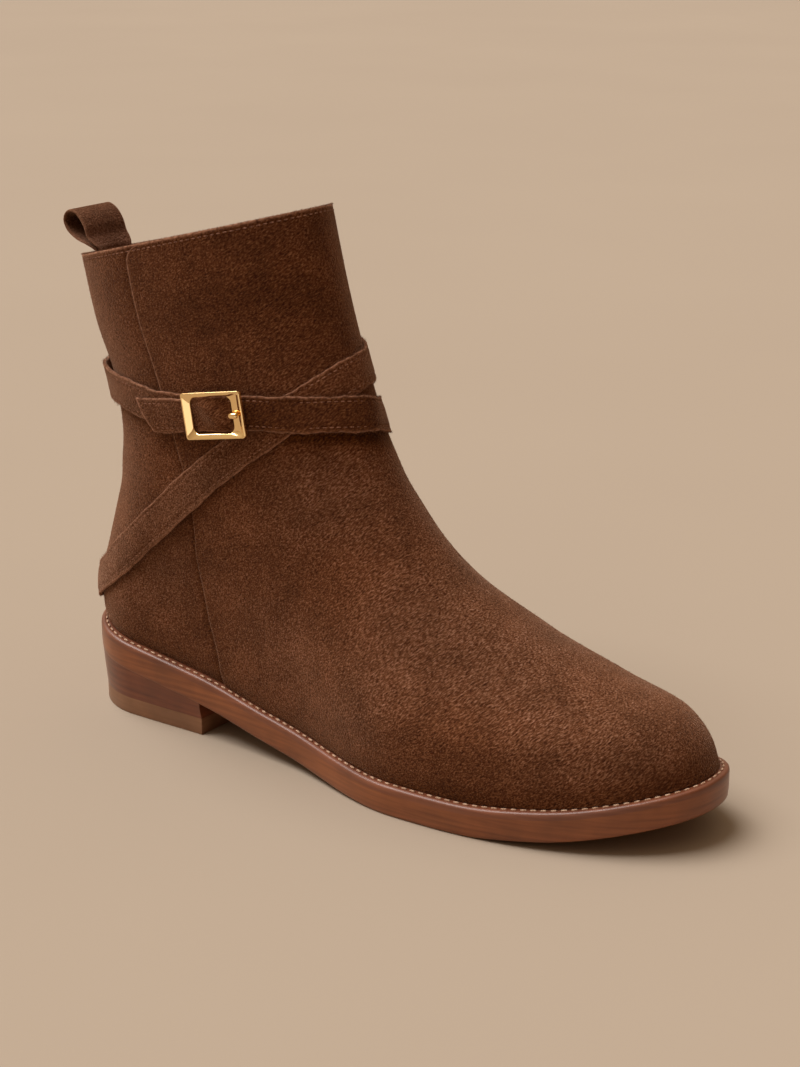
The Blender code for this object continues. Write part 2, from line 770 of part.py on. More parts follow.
# Pull loop
def build_pull_loop():
    """Strip that starts inside the collar, leans back over the rim, folds and comes back inside."""
    middle = np.radians(LOOP_TURN)
    side = np.linspace(-0.5, 0.5, LOOP_COLUMNS) * LOOP_WIDTH
    speed = np.linalg.norm(upper_slopes(middle, np.array(1.0))[0])
    turn = middle + side / speed
    rim = upper_base(turn, np.ones_like(turn))
    out = upper_normal(turn, np.ones_like(turn)) * (1, 1, 0)
    out = unit(out)
    centre = rim[LOOP_COLUMNS // 2]
    centre_out = out[LOOP_COLUMNS // 2]
    tangent = np.array([-centre_out[1], centre_out[0], 0])
    tangent = tangent * np.sign(tangent @ (rim[-1] - rim[0]))
    straight = centre + side[:, None] * (tangent + (0, 0, COLLAR_RISE * tangent[0]))

    fine = np.linspace(0, 1, LOOP_ROWS)
    rows = np.linspace(0, 1, len(LOOP_PROFILE["out"]))
    o = smooth_through(fine, rows, LOOP_PROFILE["out"])
    u = smooth_through(fine, rows, LOOP_PROFILE["up"])
    slope = unit(np.stack([np.gradient(o), np.gradient(u)], -1))
    layers = []
    for half in (-LOOP_THICK / 2, LOOP_THICK / 2):
        reach = o - half * slope[:, 1]
        rise = u + half * slope[:, 0]
        inside = rim[:, 2] + np.minimum(rise, 0)[:, None]
        wall = upper_base(turn[None], level_at(turn[None], inside))
        free = np.clip(rise / LOOP_THROAT, 0, 1)
        free = (free * free * (3 - 2 * free))[:, None, None]
        base = wall * (1 - free) + straight * free
        outward = unit(out * (1 - free) + centre_out * free)
        point = base + reach[:, None, None] * outward
        point[..., 2] += np.maximum(rise, 0)[:, None]
        layers.append(point)
    solid("pull_loop", *strip(*layers), finish("loop_leather", (0.045, 0.018, 0.01), 0.6))


# Zip slider and its hinged pull
def slider_axes():
    """Slider frame at the zip's top: x along the hinge, y up the zip, z straight out from the boot."""
    level = np.array(0.9)
    for _ in range(6):
        turn = np.radians(column(ZIP, "level", "turn", level))
        level = level_at(turn, np.array(SLIDER_HEIGHT))
    below = level - 0.1
    lower = upper_base(np.radians(column(ZIP, "level", "turn", below)), below)
    here = upper_base(turn, level)
    out = unit(upper_normal(turn, level) * (1, 1, 0))
    up = here - lower
    up = unit(up - out * (up @ out))
    return here, np.cross(up, out), up, out


def build_zip_slider():
    metal = finish("zip_metal", (0.09, 0.08, 0.085), 0.28, 1.0)
    here, along, up, out = slider_axes()
    foot_width = SLIDER_WIDTH - SLIDER_TAPER
    outline = rounded(SLIDER_WIDTH, SLIDER_LENGTH, SLIDER_CORNER, foot_width=foot_width)
    body = flat_plate("zip_slider", [outline], SLIDER_THICK, metal)
    body.matrix_world = axes_at(here + out * (SLIDER_LIFT + SLIDER_THICK / 2), along, up, out)
    body = as_mesh(body)
    parts.objects.link(body)

    height = BRIDGE_ROOM + BRIDGE_THICK + BRIDGE_SUNK
    arch = rounded(BRIDGE_LENGTH, height, BRIDGE_CORNER)
    room_length = BRIDGE_LENGTH - 2 * BRIDGE_THICK
    room_middle = height / 2 - BRIDGE_THICK - BRIDGE_ROOM / 2
    room = rounded(room_length, BRIDGE_ROOM, BRIDGE_ROOM_CORNER, (0, room_middle))
    bridge = flat_plate("zip_bridge", [arch, room], BRIDGE_WIDTH, metal)
    foot = here + out * (SLIDER_LIFT + SLIDER_THICK - BRIDGE_SUNK + height / 2)
    bridge.matrix_world = axes_at(foot, up, out, along)
    parts.objects.unlink(bridge)
    helpers.objects.link(bridge)
    bridge = as_mesh(bridge)
    helpers.objects.link(bridge)
    bridge.hide_render = True
    bridge.display_type = "WIRE"
    join = body.modifiers.new("bridge", "BOOLEAN")
    join.operation = "UNION"
    join.object = bridge


def build_zip_pull():
    """Tab that hangs from its top bar under the bridge. Its origin is on the hinge axis."""
    here, along, up, out = slider_axes()
    axis_out = SLIDER_LIFT + SLIDER_THICK + BRIDGE_ROOM / 2
    axis = here + up * PULL_AXIS_UP + out * axis_out
    top = PULL_THICK / 2
    tab_middle = top - PULL_LENGTH / 2
    tab = rounded(PULL_TOP_WIDTH, PULL_LENGTH, PULL_CORNER, (0, tab_middle), PULL_FOOT_WIDTH)
    slot_length = PULL_SLOT_LENGTH - top
    slot = rounded(PULL_SLOT_WIDTH, slot_length, PULL_SLOT_CORNER, (0, -top - slot_length / 2))
    hole_middle = top - PULL_LENGTH + PULL_FOOT_BAR + PULL_HOLE[1] / 2
    hole = rounded(*PULL_HOLE, PULL_HOLE_CORNER, (0, hole_middle))
    metal = finish("pull_metal", (0.1, 0.09, 0.095), 0.3, 1.0)
    pull = flat_plate("zip_pull", [tab, slot, hole], PULL_THICK, metal)
    pull.matrix_world = axes_at(axis, along, up, out)


clear_scene()
build_sole()
build_heel()
build_upper()
build_zip_chain()
build_straps()
build_buckle()
build_pull_loop()
build_zip_slider()
build_zip_pull()
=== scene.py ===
import bmesh
import bpy
import numpy as np
from mathutils import Matrix, Vector


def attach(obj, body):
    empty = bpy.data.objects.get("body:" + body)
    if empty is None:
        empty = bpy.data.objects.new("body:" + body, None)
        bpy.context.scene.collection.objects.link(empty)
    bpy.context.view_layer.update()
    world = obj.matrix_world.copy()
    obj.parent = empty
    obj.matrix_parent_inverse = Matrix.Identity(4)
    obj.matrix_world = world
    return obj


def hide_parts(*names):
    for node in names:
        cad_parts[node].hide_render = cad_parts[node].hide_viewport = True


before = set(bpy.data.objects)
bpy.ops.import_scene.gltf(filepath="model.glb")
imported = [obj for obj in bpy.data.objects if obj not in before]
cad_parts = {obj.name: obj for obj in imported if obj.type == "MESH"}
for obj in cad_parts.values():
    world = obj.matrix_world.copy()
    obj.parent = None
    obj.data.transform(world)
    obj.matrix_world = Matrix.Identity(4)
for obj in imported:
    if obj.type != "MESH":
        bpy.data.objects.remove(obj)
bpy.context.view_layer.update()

# Outsole
# One thick sole of firm leather, cut to the outline of the last, waisted at the arch and sprung at the toe.
# Its edge is trimmed, waxed and burnished, and it is stitched up through the welt.
MM = 0.001
MERGE_M = 2e-6
BOX_CENTRE = np.array((126.93, 0.41, 0.0))
GAP = 0.3
SOLE_LENGTH = 272.0
SOLE_EDGE = 11.6
WELT_THICK = 3.0
HEEL_SEAT_ROUND = 32.0
TOE_ROUND = 96.0
TOE_POWER = 2.24
TOE_SWING = 8.9
SWING_START = 140.0
SOLE_POINTS = 360


def table(columns, rows):
    """Named columns from rows of numbers."""
    return dict(zip(columns.split(), np.array(rows, float).T))


SOLE_PLAN = table(
    "x outer inner",
    [
        (0, 32.4, 32.4),
        (32, 32.4, 32.4),
        (75, 31.4, 31.4),
        (112, 33.4, 29.4),
        (170, 44.6, 41.9),
        (190, 44.5, 43.9),
        (272, 43.3, 42.6),
    ],
)
SOLE_PROFILE = table(
    "x welt_top",
    [
        (0, 34.8),
        (40, 29.2),
        (70, 24.4),
        (100, 18.2),
        (140, 12.8),
        (165, 11.6),
        (195, 11.6),
        (225, 14.2),
        (272, 24.2),
    ],
)


def smooth(x, xs, ys):
    """Monotone cubic through table rows, held level beyond the first and last row."""
    x = np.asarray(x, float)
    step = np.diff(xs)
    slope = np.diff(ys) / step
    tangent = np.zeros_like(ys)
    before = 2 * step[1:] + step[:-1]
    after = step[1:] + 2 * step[:-1]
    with np.errstate(divide="ignore", invalid="ignore"):
        mean = (before + after) / (before / slope[:-1] + after / slope[1:])
    tangent[1:-1] = np.where(slope[:-1] * slope[1:] > 0, mean, 0.0)
    tangent[0] = slope[0]
    tangent[-1] = slope[-1]
    row = np.clip(np.searchsorted(xs, x) - 1, 0, len(step) - 1)
    t = np.clip((x - xs[row]) / step[row], 0, 1)
    start = (1 + 2 * t) * (1 - t) ** 2 * ys[row] + t * (1 - t) ** 2 * step[row] * tangent[row]
    end = t * t * (3 - 2 * t) * ys[row + 1] + t * t * (t - 1) * step[row] * tangent[row + 1]
    return start + end


def column(rows, key, name, at):
    """One column of a table, read smoothly at a value of its first column."""
    order = np.argsort(rows[key])
    return smooth(at, rows[key][order], rows[name][order])


def round_end(t, power):
    """Rises from 0 to 1 like the end of a rounded outline: the power root of 1 less (1 - t) to that power."""
    t = np.clip(t, 0, 1)
    return (1 - (1 - t) ** power) ** (1 / power)


def unit(vectors):
    """Vectors of length 1."""
    return vectors / np.linalg.norm(vectors, axis=-1, keepdims=True)


def welt_top(x):
    """Height of the welt's upper face along the boot."""
    return column(SOLE_PROFILE, "x", "welt_top", x)


def swing(x):
    """Sideways curve of the sole's middle line to the inner side: a square law from the arch to the toe."""
    return TOE_SWING * np.clip((x - SWING_START) / (SOLE_LENGTH - SWING_START), 0, None) ** 2


def plan_half(x, turn):
    """Half width of the sole, on the outer or the inner side."""
    x = np.clip(x, 0, SOLE_LENGTH)
    outer = column(SOLE_PLAN, "x", "outer", x)
    inner = column(SOLE_PLAN, "x", "inner", x)
    return np.where(np.sin(turn) >= 0, outer, inner)


def side_sign(turn):
    """-1 on the outer side, 1 on the inner side."""
    return np.where(np.sin(turn) >= 0, -1.0, 1.0)


def sole_ring(inset, drop):
    """Ring round the sole at an inset from its outline and a drop below the welt's top."""
    turn = np.linspace(0, 2 * np.pi, SOLE_POINTS, endpoint=False)
    x = SOLE_LENGTH * (1 - np.cos(turn)) / 2
    half = plan_half(x, turn) * round_end(x / HEEL_SEAT_ROUND, 2)
    half = half * round_end((SOLE_LENGTH - x) / TOE_ROUND, TOE_POWER)
    plan = np.stack([x, swing(x) + side_sign(turn) * half], -1)
    along = unit(np.roll(plan, -1, 0) - np.roll(plan, 1, 0))
    plan = plan + inset * np.stack([-along[:, 1], along[:, 0]], -1)
    return np.column_stack([plan, welt_top(plan[:, 0]) - drop])


def drawn_in(ring, share):
    """Ring drawn in sideways to its own middle line: middle plus a share of the way out."""
    middle = (ring + np.roll(ring[::-1], 1, 0)) / 2
    return middle + (ring - middle) * share


def ring_faces(count, rings, closed=False):
    """Quads between neighbouring rings of the same count, and from the last to the first if closed."""
    index = np.arange(count * rings).reshape(rings, count)
    following = np.roll(index, -1, 0) if closed else index[1:]
    index = index if closed else index[:-1]
    corners = [index, np.roll(index, -1, 1), np.roll(following, -1, 1), following]
    return np.stack(corners, -1).reshape(-1, 4)


def linked(name, data):
    """New object in the scene, at the origin."""
    made = bpy.data.objects.new(name, data)
    bpy.context.scene.collection.objects.link(made)
    return made


def finished(name, mesh, material, sharp):
    """Object from a mesh: doubles merged, faces turned outwards, smooth up to the sharp angle."""
    work = bmesh.new()
    work.from_mesh(mesh)
    bmesh.ops.remove_doubles(work, verts=work.verts, dist=MERGE_M)
    bmesh.ops.recalc_face_normals(work, faces=work.faces)
    work.to_mesh(mesh)
    work.free()
    mesh.shade_smooth()
    mesh.set_sharp_from_angle(angle=np.radians(sharp))
    mesh.materials.clear()
    mesh.materials.append(material)
    return linked(name, mesh)


def piece(name, points, faces, material, marks=None, sharp=40):
    """Object at the origin from points in boot millimetres; marks are numbers kept at its points."""
    mesh = bpy.data.meshes.new(name)
    mesh.from_pydata(((points - BOX_CENTRE) * MM).tolist(), [], faces.tolist())
    for label, values in (marks or {}).items():
        mark = mesh.attributes.new(label, "FLOAT", "POINT")
        mark.data.foreach_set("value", np.asarray(values, np.float32).ravel())
    return finished(name, mesh, material, sharp)


def ring_stack(name, rings, material, closed=False, sharp=40):
    """Piece from rings of the same count, each joined to the next."""
    faces = ring_faces(len(rings[0]), len(rings), closed)
    return piece(name, np.concatenate(rings), faces, material, sharp=sharp)


def capped(rings, first_shares, last_shares):
    """Rings closed at both ends: the first and the last drawn in to their middle lines."""
    first = [drawn_in(rings[0], share) for share in first_shares]
    return first + rings + [drawn_in(rings[-1], share) for share in last_shares]


def shader_of(name, roughness, specular=0.5, metallic=0.0):
    """New material, its node tree and its Principled shader."""
    material = bpy.data.materials.new(name)
    material.use_nodes = True
    shader = material.node_tree.nodes["Principled BSDF"]
    shader.inputs["Roughness"].default_value = roughness
    shader.inputs["Specular IOR Level"].default_value = specular
    shader.inputs["Metallic"].default_value = metallic
    return material, material.node_tree, shader


def grain(tree, scale, detail=3.0, stretch=(1, 1, 1), lie=None):
    """Noise on Object coordinates, in cells per metre; lie is the way the stretch's third axis points."""
    place = tree.nodes.new("ShaderNodeTexCoord")
    mapping = tree.nodes.new("ShaderNodeMapping")
    mapping.inputs["Scale"].default_value = stretch
    if lie is not None:
        mapping.vector_type = "TEXTURE"
        mapping.inputs["Rotation"].default_value = Vector(lie).to_track_quat("Z", "Y").to_euler()
        mapping.inputs["Scale"].default_value = [1 / value for value in stretch]
    noise = tree.nodes.new("ShaderNodeTexNoise")
    noise.inputs["Scale"].default_value = scale
    noise.inputs["Detail"].default_value = detail
    tree.links.new(place.outputs["Object"], mapping.inputs["Vector"])
    tree.links.new(mapping.outputs["Vector"], noise.inputs["Vector"])
    return noise.outputs["Fac"]


def ramp(tree, value, stops):
    """Colours at places along a value from 0 to 1."""
    node = tree.nodes.new("ShaderNodeValToRGB")
    while len(node.color_ramp.elements) < len(stops):
        node.color_ramp.elements.new(0.5)
    for element, (place, colour) in zip(node.color_ramp.elements, stops):
        element.position = place
        element.color = (*colour, 1)
    tree.links.new(value, node.inputs["Fac"])
    return node.outputs["Color"]


def mixed(tree, kind, factor, first, second):
    """Mix of two colours; the factor is a number or a socket."""
    node = tree.nodes.new("ShaderNodeMix")
    node.data_type = "RGBA"
    node.blend_type = kind
    for socket, value in ((node.inputs[0], factor), (node.inputs[6], first), (node.inputs[7], second)):
        if isinstance(value, bpy.types.NodeSocket):
            tree.links.new(value, socket)
        elif isinstance(value, tuple):
            socket.default_value = (*value, 1)
        else:
            socket.default_value = value
    return node.outputs[2]


def tinted(tree, shader, value, low, high):
    """Base colour from a value between two stops, each a place and a colour."""
    tree.links.new(ramp(tree, value, [low, high]), shader.inputs["Base Color"])


def bump(tree, shader, height, strength, distance):
    """Small relief on the shader's normal; the distance is in metres."""
    node = tree.nodes.new("ShaderNodeBump")
    node.inputs["Strength"].default_value = strength
    node.inputs["Distance"].default_value = distance
    tree.links.new(height, node.inputs["Height"])
    tree.links.new(node.outputs["Normal"], shader.inputs["Normal"])


def burnished(name, dark, mid, light, roughness):
    """Waxed leather edge: long level streaks and small cloudy patches."""
    material, tree, shader = shader_of(name, roughness, 0.45)
    streak = grain(tree, 1.0, 4.0, (30, 30, 700))
    cloud = grain(tree, 70.0, 3.0)
    colour = ramp(tree, streak, [(0.3, dark), (0.5, mid), (0.72, light)])
    tone = ramp(tree, cloud, [(0.3, (0.78, 0.76, 0.75)), (0.7, (1.12, 1.1, 1.08))])
    tree.links.new(mixed(tree, "MULTIPLY", 1.0, colour, tone), shader.inputs["Base Color"])
    shader.inputs["Coat Weight"].default_value = 0.18
    shader.inputs["Coat Roughness"].default_value = 0.35
    bump(tree, shader, streak, 0.12, 0.0003)
    return material


edge_profile = [
    (1.6, SOLE_EDGE),
    (0.9, SOLE_EDGE - 0.05),
    (0.35, SOLE_EDGE - 0.3),
    (0.08, SOLE_EDGE - 0.8),
    (0.0, SOLE_EDGE - 1.6),
    (-0.15, SOLE_EDGE - 4.0),
    (-0.12, WELT_THICK),
    (4.0, WELT_THICK),
]
sole_rings = capped([sole_ring(*row) for row in edge_profile], (0, 0.4, 0.8), (0.6, 0))
sole_leather = burnished(
    "sole_edge_leather", (0.165, 0.047, 0.014), (0.226, 0.07, 0.022), (0.285, 0.093, 0.031), 0.36
)
outsole = ring_stack("outsole", sole_rings, sole_leather)
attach(outsole, "boot")
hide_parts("outsole")

# Welt and its stitches
# A strip of dark waxed leather sewn all round the sole, its edge rounded and polished.
# One row of thick pale thread goes down through it close to the upper.
STITCH_INSET = 2.1
STITCH_DROP = 0.12
STITCH_PITCH = 3.6
WELT_STITCH = (2.5, 0.82, 0.76)
PAD_ROWS = 7
PAD_SIDES = 8
welt_profile = [
    (9.5, WELT_THICK),
    (-0.12, WELT_THICK),
    (-0.14, 2.2),
    (-0.1, 1.6),
    (-0.02, 1.2),
    (0.22, 0.78),
    (0.6, 0.48),
    (1.1, 0.3),
    (1.5, 0.2),
    (2.1, 0.36),
    (2.7, 0.12),
    (3.4, 0.0),
    (9.5, 0.0),
]
welt_leather = burnished(
    "welt_leather", (0.15, 0.045, 0.02), (0.185, 0.059, 0.027), (0.225, 0.076, 0.036), 0.42
)
welt = ring_stack("welt", [sole_ring(*row) for row in welt_profile], welt_leather, closed=True)
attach(welt, "boot")
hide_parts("welt")


def spaced(path, pitch, *others):
    """Points at an even pitch along a path, with other arrays read at the same places."""
    steps = np.linalg.norm(np.diff(path, axis=0), axis=1)
    reach = np.concatenate([[0], np.cumsum(steps)])
    at = np.arange(pitch / 2, reach[-1], pitch)
    return [np.stack([np.interp(at, reach, axis) for axis in each.T], -1) for each in (path, *others)]


def stitches(name, spots, along, out, size, material):
    """Row of small pads, one at each spot; the girth is the root of 1 less the cube of the way to an end."""
    length, width, height = size
    u = np.linspace(-1, 1, PAD_ROWS)[:, None] * np.ones(PAD_SIDES)
    v = np.linspace(0, 2 * np.pi, PAD_SIDES, endpoint=False) + 0 * u
    girth = (1 - np.abs(u) ** 3) ** 0.5
    pad = np.stack([u * length / 2, girth * np.cos(v) * width / 2, girth * np.sin(v) * height / 2], -1)
    pad = pad.reshape(-1, 3)
    side = unit(np.cross(out, along))
    out = unit(np.cross(along, side))
    points = spots[:, None] + pad[None, :, :1] * along[:, None]
    points = points + pad[None, :, 1:2] * side[:, None] + pad[None, :, 2:] * out[:, None]
    faces = ring_faces(PAD_SIDES, PAD_ROWS)
    faces = (faces[None] + np.arange(len(spots))[:, None, None] * len(pad)).reshape(-1, 4)
    return piece(name, points.reshape(-1, 3), faces, material, sharp=80)


def thread(name, dark, light):
    """Twisted thread: fine noise between two tones."""
    material, tree, shader = shader_of(name, 0.7, 0.25)
    tinted(tree, shader, grain(tree, 1500.0, 2.0), (0.35, dark), (0.65, light))
    return material


welt_path = sole_ring(STITCH_INSET, STITCH_DROP)
welt_path = np.concatenate([welt_path, welt_path[:1]])
spots, ahead = spaced(welt_path, STITCH_PITCH, np.gradient(welt_path, axis=0))
upright = np.broadcast_to((0.0, 0.0, 1.0), spots.shape)
welt_thread = thread("welt_thread", (0.36, 0.205, 0.13), (0.61, 0.415, 0.29))
welt_stitches = stitches("welt_stitches", spots, unit(ahead), upright, WELT_STITCH, welt_thread)
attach(welt_stitches, "boot")

# Heel
# A low heel of stacked leather lifts under the seat, trimmed with a slight taper and burnished like the sole.
# The bottom lift, the top piece, is a duller hard-wearing layer that meets the floor.
HEEL_BREAST = 68.0
TOP_PIECE = 6.8
HEEL_POINTS = 90
HEEL_TOP_INSET = 0.12
HEEL_FOOT_INSET = 1.5
HEEL_TUCK = 1.5


def heel_ring(inset, foot, share=0.0, tuck=0.0):
    """Heel outline at an inset: rounded back, straight breast, a share of the way from a foot to the sole."""
    swept = np.linspace(0, np.pi / 2, HEEL_POINTS)
    x = inset + (HEEL_BREAST - max(0.0, inset - HEEL_FOOT_INSET) - inset) * (1 - np.cos(swept))
    half = column(SOLE_PLAN, "x", "outer", x) - inset
    half = half * round_end((x - inset) / (HEEL_SEAT_ROUND - inset), 2)
    height = (1 - share) * foot + share * (welt_top(x) - SOLE_EDGE) + tuck
    outer = np.column_stack([x, -half, height])
    inner = np.column_stack([x, half, height])
    return np.concatenate([outer, inner[:0:-1]])


def lift_block(name, rings, material):
    """Closed block from rings round the heel."""
    return ring_stack(name, capped(rings, (0, 0.6), (0.6, 0)), material, sharp=35)


stack_rings = []
for share in (0, 0.33, 0.66):
    inset = HEEL_FOOT_INSET + (HEEL_TOP_INSET - HEEL_FOOT_INSET) * share
    stack_rings.append(heel_ring(inset, TOP_PIECE, share))
stack_rings.append(heel_ring(HEEL_TOP_INSET, TOP_PIECE, 1, HEEL_TUCK))
heel_leather = burnished(
    "stacked_leather", (0.115, 0.029, 0.0115), (0.158, 0.043, 0.017), (0.2, 0.058, 0.0235), 0.34
)
heel_stack = lift_block("heel_stack", stack_rings, heel_leather)
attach(heel_stack, "boot")
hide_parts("heel_stack")

top_piece_rings = [
    heel_ring(HEEL_FOOT_INSET + 0.5, 0.0),
    heel_ring(HEEL_FOOT_INSET + 0.12, 0.15),
    heel_ring(HEEL_FOOT_INSET, 0.6),
    heel_ring(HEEL_FOOT_INSET, TOP_PIECE),
]
top_piece_rubber = burnished("top_piece", (0.2, 0.09, 0.042), (0.225, 0.105, 0.05), (0.25, 0.12, 0.06), 0.5)
heel_top_piece = lift_block("heel_top_piece", top_piece_rings, top_piece_rubber)
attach(heel_top_piece, "boot")
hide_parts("heel_top_piece")

# Insole
# A smooth tan leather sock on a board, laid inside the boot on the sole, over the upper's lasted edge.
# It is seen only through the collar.
INSOLE_INSET = 8.4
INSOLE_RISE = 2.8


def smooth_leather(name, dark, light, roughness, pores):
    """Smooth leather: cloudy tone and fine pores."""
    material, tree, shader = shader_of(name, roughness, 0.35)
    tinted(tree, shader, grain(tree, 60.0, 5.0), (0.3, dark), (0.7, light))
    bump(tree, shader, grain(tree, pores, 3.0), 0.3, 0.0003)
    return material


sock_leather = smooth_leather("sock_leather", (0.33, 0.18, 0.1), (0.45, 0.27, 0.16), 0.6, 900.0)
insole_rings = [
    sole_ring(INSOLE_INSET + 0.2, -GAP),
    sole_ring(INSOLE_INSET, -0.8),
    sole_ring(INSOLE_INSET, -INSOLE_RISE + 0.5),
    sole_ring(INSOLE_INSET + 0.5, -INSOLE_RISE),
]
insole = ring_stack("insole", capped(insole_rings, (0, 0.6), (0.8, 0.4, 0)), sock_leather)
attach(insole, "boot")
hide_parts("insole")

# Upper
# Brown suede on the last: a front panel from toe to collar, lapped over a back panel on the outer side.
# Its raw edges are pale, brushing leaves the nap in lighter and darker patches mixed with painted highlight
# and shade, and the ankle has soft folds.
SUEDE_THICK = 0.9
PANEL_STEP = 0.8
WELT_LEDGE = 3.6
COLLAR_BACK = 178.0
COLLAR_RISE = 0.258
INNER_DIP = 1.6
UPPER = table(
    "level back front half heel_round front_round bulge shaft",
    [
        (0.00, 1.2, 268.1, 32.0, 32, 92, 0.0, 0.00),
        (0.04, 0.7, 264.9, 32.0, 32, 94, 1.6, 0.00),
        (0.09, 0.4, 257.0, 32.0, 32, 100, 1.8, 0.00),
        (0.15, 1.2, 235.0, 32.0, 33, 115, 1.0, 0.12),
        (0.22, 4.2, 205.0, 32.0, 34, 128, 0.0, 0.34),
        (0.30, 7.7, 174.6, 31.5, 36, 118, 0.0, 0.60),
        (0.40, 11.6, 152.0, 31.0, 38, 92, 0.0, 0.86),
        (0.52, 13.3, 134.0, 31.0, 40, 74, 0.0, 1.00),
        (0.66, 10.4, 122.8, 31.5, 42, 64, 0.0, 1.00),
        (0.82, 1.8, 112.9, 32.5, 44, 60, 0.0, 1.00),
        (1.00, -4.5, 104.4, 33.5, 46, 58, 0.0, 1.00),
    ],
)
SEAM = table(
    "level turn",
    [
        (0.00, 65.3),
        (0.11, 66.1),
        (0.18, 68.2),
        (0.26, 71.8),
        (0.35, 76.1),
        (0.47, 78.7),
        (0.65, 77.4),
        (0.955, 79.2),
        (0.975, 80.2),
        (0.99, 83.0),
        (1.00, 88.5),
    ],
)
ZIP_FOOT = 0.10
ZIP = table(
    "level turn half_width",
    [
        (0.00, 287.0, 3.4),
        (0.10, 284.6, 3.5),
        (0.33, 273.8, 4.1),
        (0.48, 270.2, 4.5),
        (0.73, 268.4, 4.8),
        (1.00, 267.8, 4.9),
    ],
)


def collar(x, turn):
    """Height of the collar: a line that rises to the front, dipped on the inner side by the sine squared."""
    return COLLAR_BACK + COLLAR_RISE * x - INNER_DIP * np.minimum(np.sin(turn), 0) ** 2


def sizes(level, *names):
    """Sizes of the upper at a level, from its table."""
    return [column(UPPER, "level", name, level) for name in names]


def zip_turn(level):
    """Turn of the zip's middle line."""
    return np.radians(column(ZIP, "level", "turn", level))


def upper_x(turn, level):
    """Place along the boot: from back to front of a level, as half of 1 less the cosine of the turn."""
    back, front = sizes(level, "back", "front")
    return back + (front - back) * (1 - np.cos(turn)) / 2


def upper_base(turn, level):
    """Outer face of the back panel: slices that tilt from the welt's line to the collar's line."""
    x = upper_x(turn, level)
    back, front, half, shaft, bulge = sizes(level, "back", "front", "half", "shaft", "bulge")
    heel_round, front_round = sizes(level, "heel_round", "front_round")
    body = (1 - shaft) * (plan_half(x, turn) - WELT_LEDGE + bulge) + shaft * half
    heel_end = round_end((x - back) / heel_round, 2)
    front_end = round_end((front - x) / front_round, TOE_POWER + (2 - TOE_POWER) * shaft)
    y = swing(x) * (1 - shaft) + side_sign(turn) * body * heel_end * front_end
    low = welt_top(x) + GAP
    return np.stack([x, y, low + level * (collar(x, turn) - low)], -1)


def upper_slopes(turn, level):
    """Change of the outer face for a radian of turn and for a whole level, by small steps to both sides."""
    step = 0.02
    rise = 0.004
    up = np.minimum(level + rise, 1)
    down = np.maximum(level - rise, 0)
    per_turn = (upper_base(turn + step, level) - upper_base(turn - step, level)) / (2 * step)
    per_level = (upper_base(turn, up) - upper_base(turn, down)) / (up - down)[..., None]
    return per_turn, per_level


def upper_normal(turn, level):
    """Outward direction of the upper: the cross product of its two slopes."""
    per_turn, per_level = upper_slopes(turn, level)
    return unit(np.cross(per_turn, per_level))


def on_upper(turn, level, lift):
    """Point at a lift off the outer face of the back panel."""
    turn, level, lift = np.broadcast_arrays(turn, level, lift)
    return upper_base(turn, level) + lift[..., None] * upper_normal(turn, level)


def level_at(turn, height):
    """Level at which the outer face has this height at this turn, found in a few repeated steps."""
    level = np.full(np.shape(height), 0.6)
    for _ in range(14):
        x = upper_x(turn, level)
        low = welt_top(x) + GAP
        level = (height - low) / (collar(x, turn) - low)
    return level


def zip_edges(level, extra=0.0):
    """Turns of the zip slot's front and rear edge, widened by an extra on each side."""
    middle = zip_turn(level)
    back, front = sizes(level, "back", "front")
    turn_per_mm = 2 / ((front - back) * np.abs(np.sin(middle)))
    half = (column(ZIP, "level", "half_width", level) + extra) * turn_per_mm
    return middle - half, middle + half


def shell(outer, inner, present):
    """Points and quads of a wall between two grids closed on themselves, with rims round missing cells."""
    rows, columns = outer.shape[:2]
    index = np.arange(rows * columns).reshape(rows, columns)
    beside = np.roll(index, -1, 1)
    a = index[:-1]
    b = beside[:-1]
    c = beside[1:]
    d = index[1:]
    back = rows * columns
    faces = [np.stack([a, b, c, d], -1)[present], np.stack([d, c, b, a], -1)[present] + back]
    below = np.pad(present, ((1, 0), (0, 0)))[:-1]
    above = np.pad(present, ((0, 1), (0, 0)))[1:]
    edges = [
        (a, b, present & ~below),
        (b, c, present & ~np.roll(present, -1, 1)),
        (c, d, present & ~above),
        (d, a, present & ~np.roll(present, 1, 1)),
    ]
    for start, end, open_side in edges:
        first = start[open_side]
        last = end[open_side]
        faces.append(np.stack([first, first + back, last + back, last], -1))
    return np.concatenate([outer.reshape(-1, 3), inner.reshape(-1, 3)]), np.concatenate(faces)


def both_faces(grid):
    """Marks of a grid, once for each face of a wall."""
    return np.concatenate([grid.ravel(), grid.ravel()])


def swell(value, centre, width):
    """Bell curve round a centre."""
    return np.exp(-(((value - centre) / width) ** 2))


FOLDS = table(
    "x y z lean long wide depth",
    [
        (128, 0, 108, -0.35, 26, 5.0, 0.55),
        (118, -20, 118, -0.25, 18, 4.0, 0.40),
        (138, 8, 94, -0.45, 28, 6.0, 0.40),
        (104, 26, 106, -0.2, 20, 5.0, 0.45),
        (30, -24, 96, 0.25, 16, 5.0, 0.35),
        (26, 20, 104, 0.2, 18, 5.0, 0.35),
        (186, -12, 56, -0.7, 24, 7.0, 0.30),
        (196, 18, 50, -0.7, 20, 7.0, 0.30),
        (70, -33, 160, 0.1, 26, 9.0, 0.30),
        (60, 33, 96, 0.35, 24, 6.0, 0.35),
    ],
)


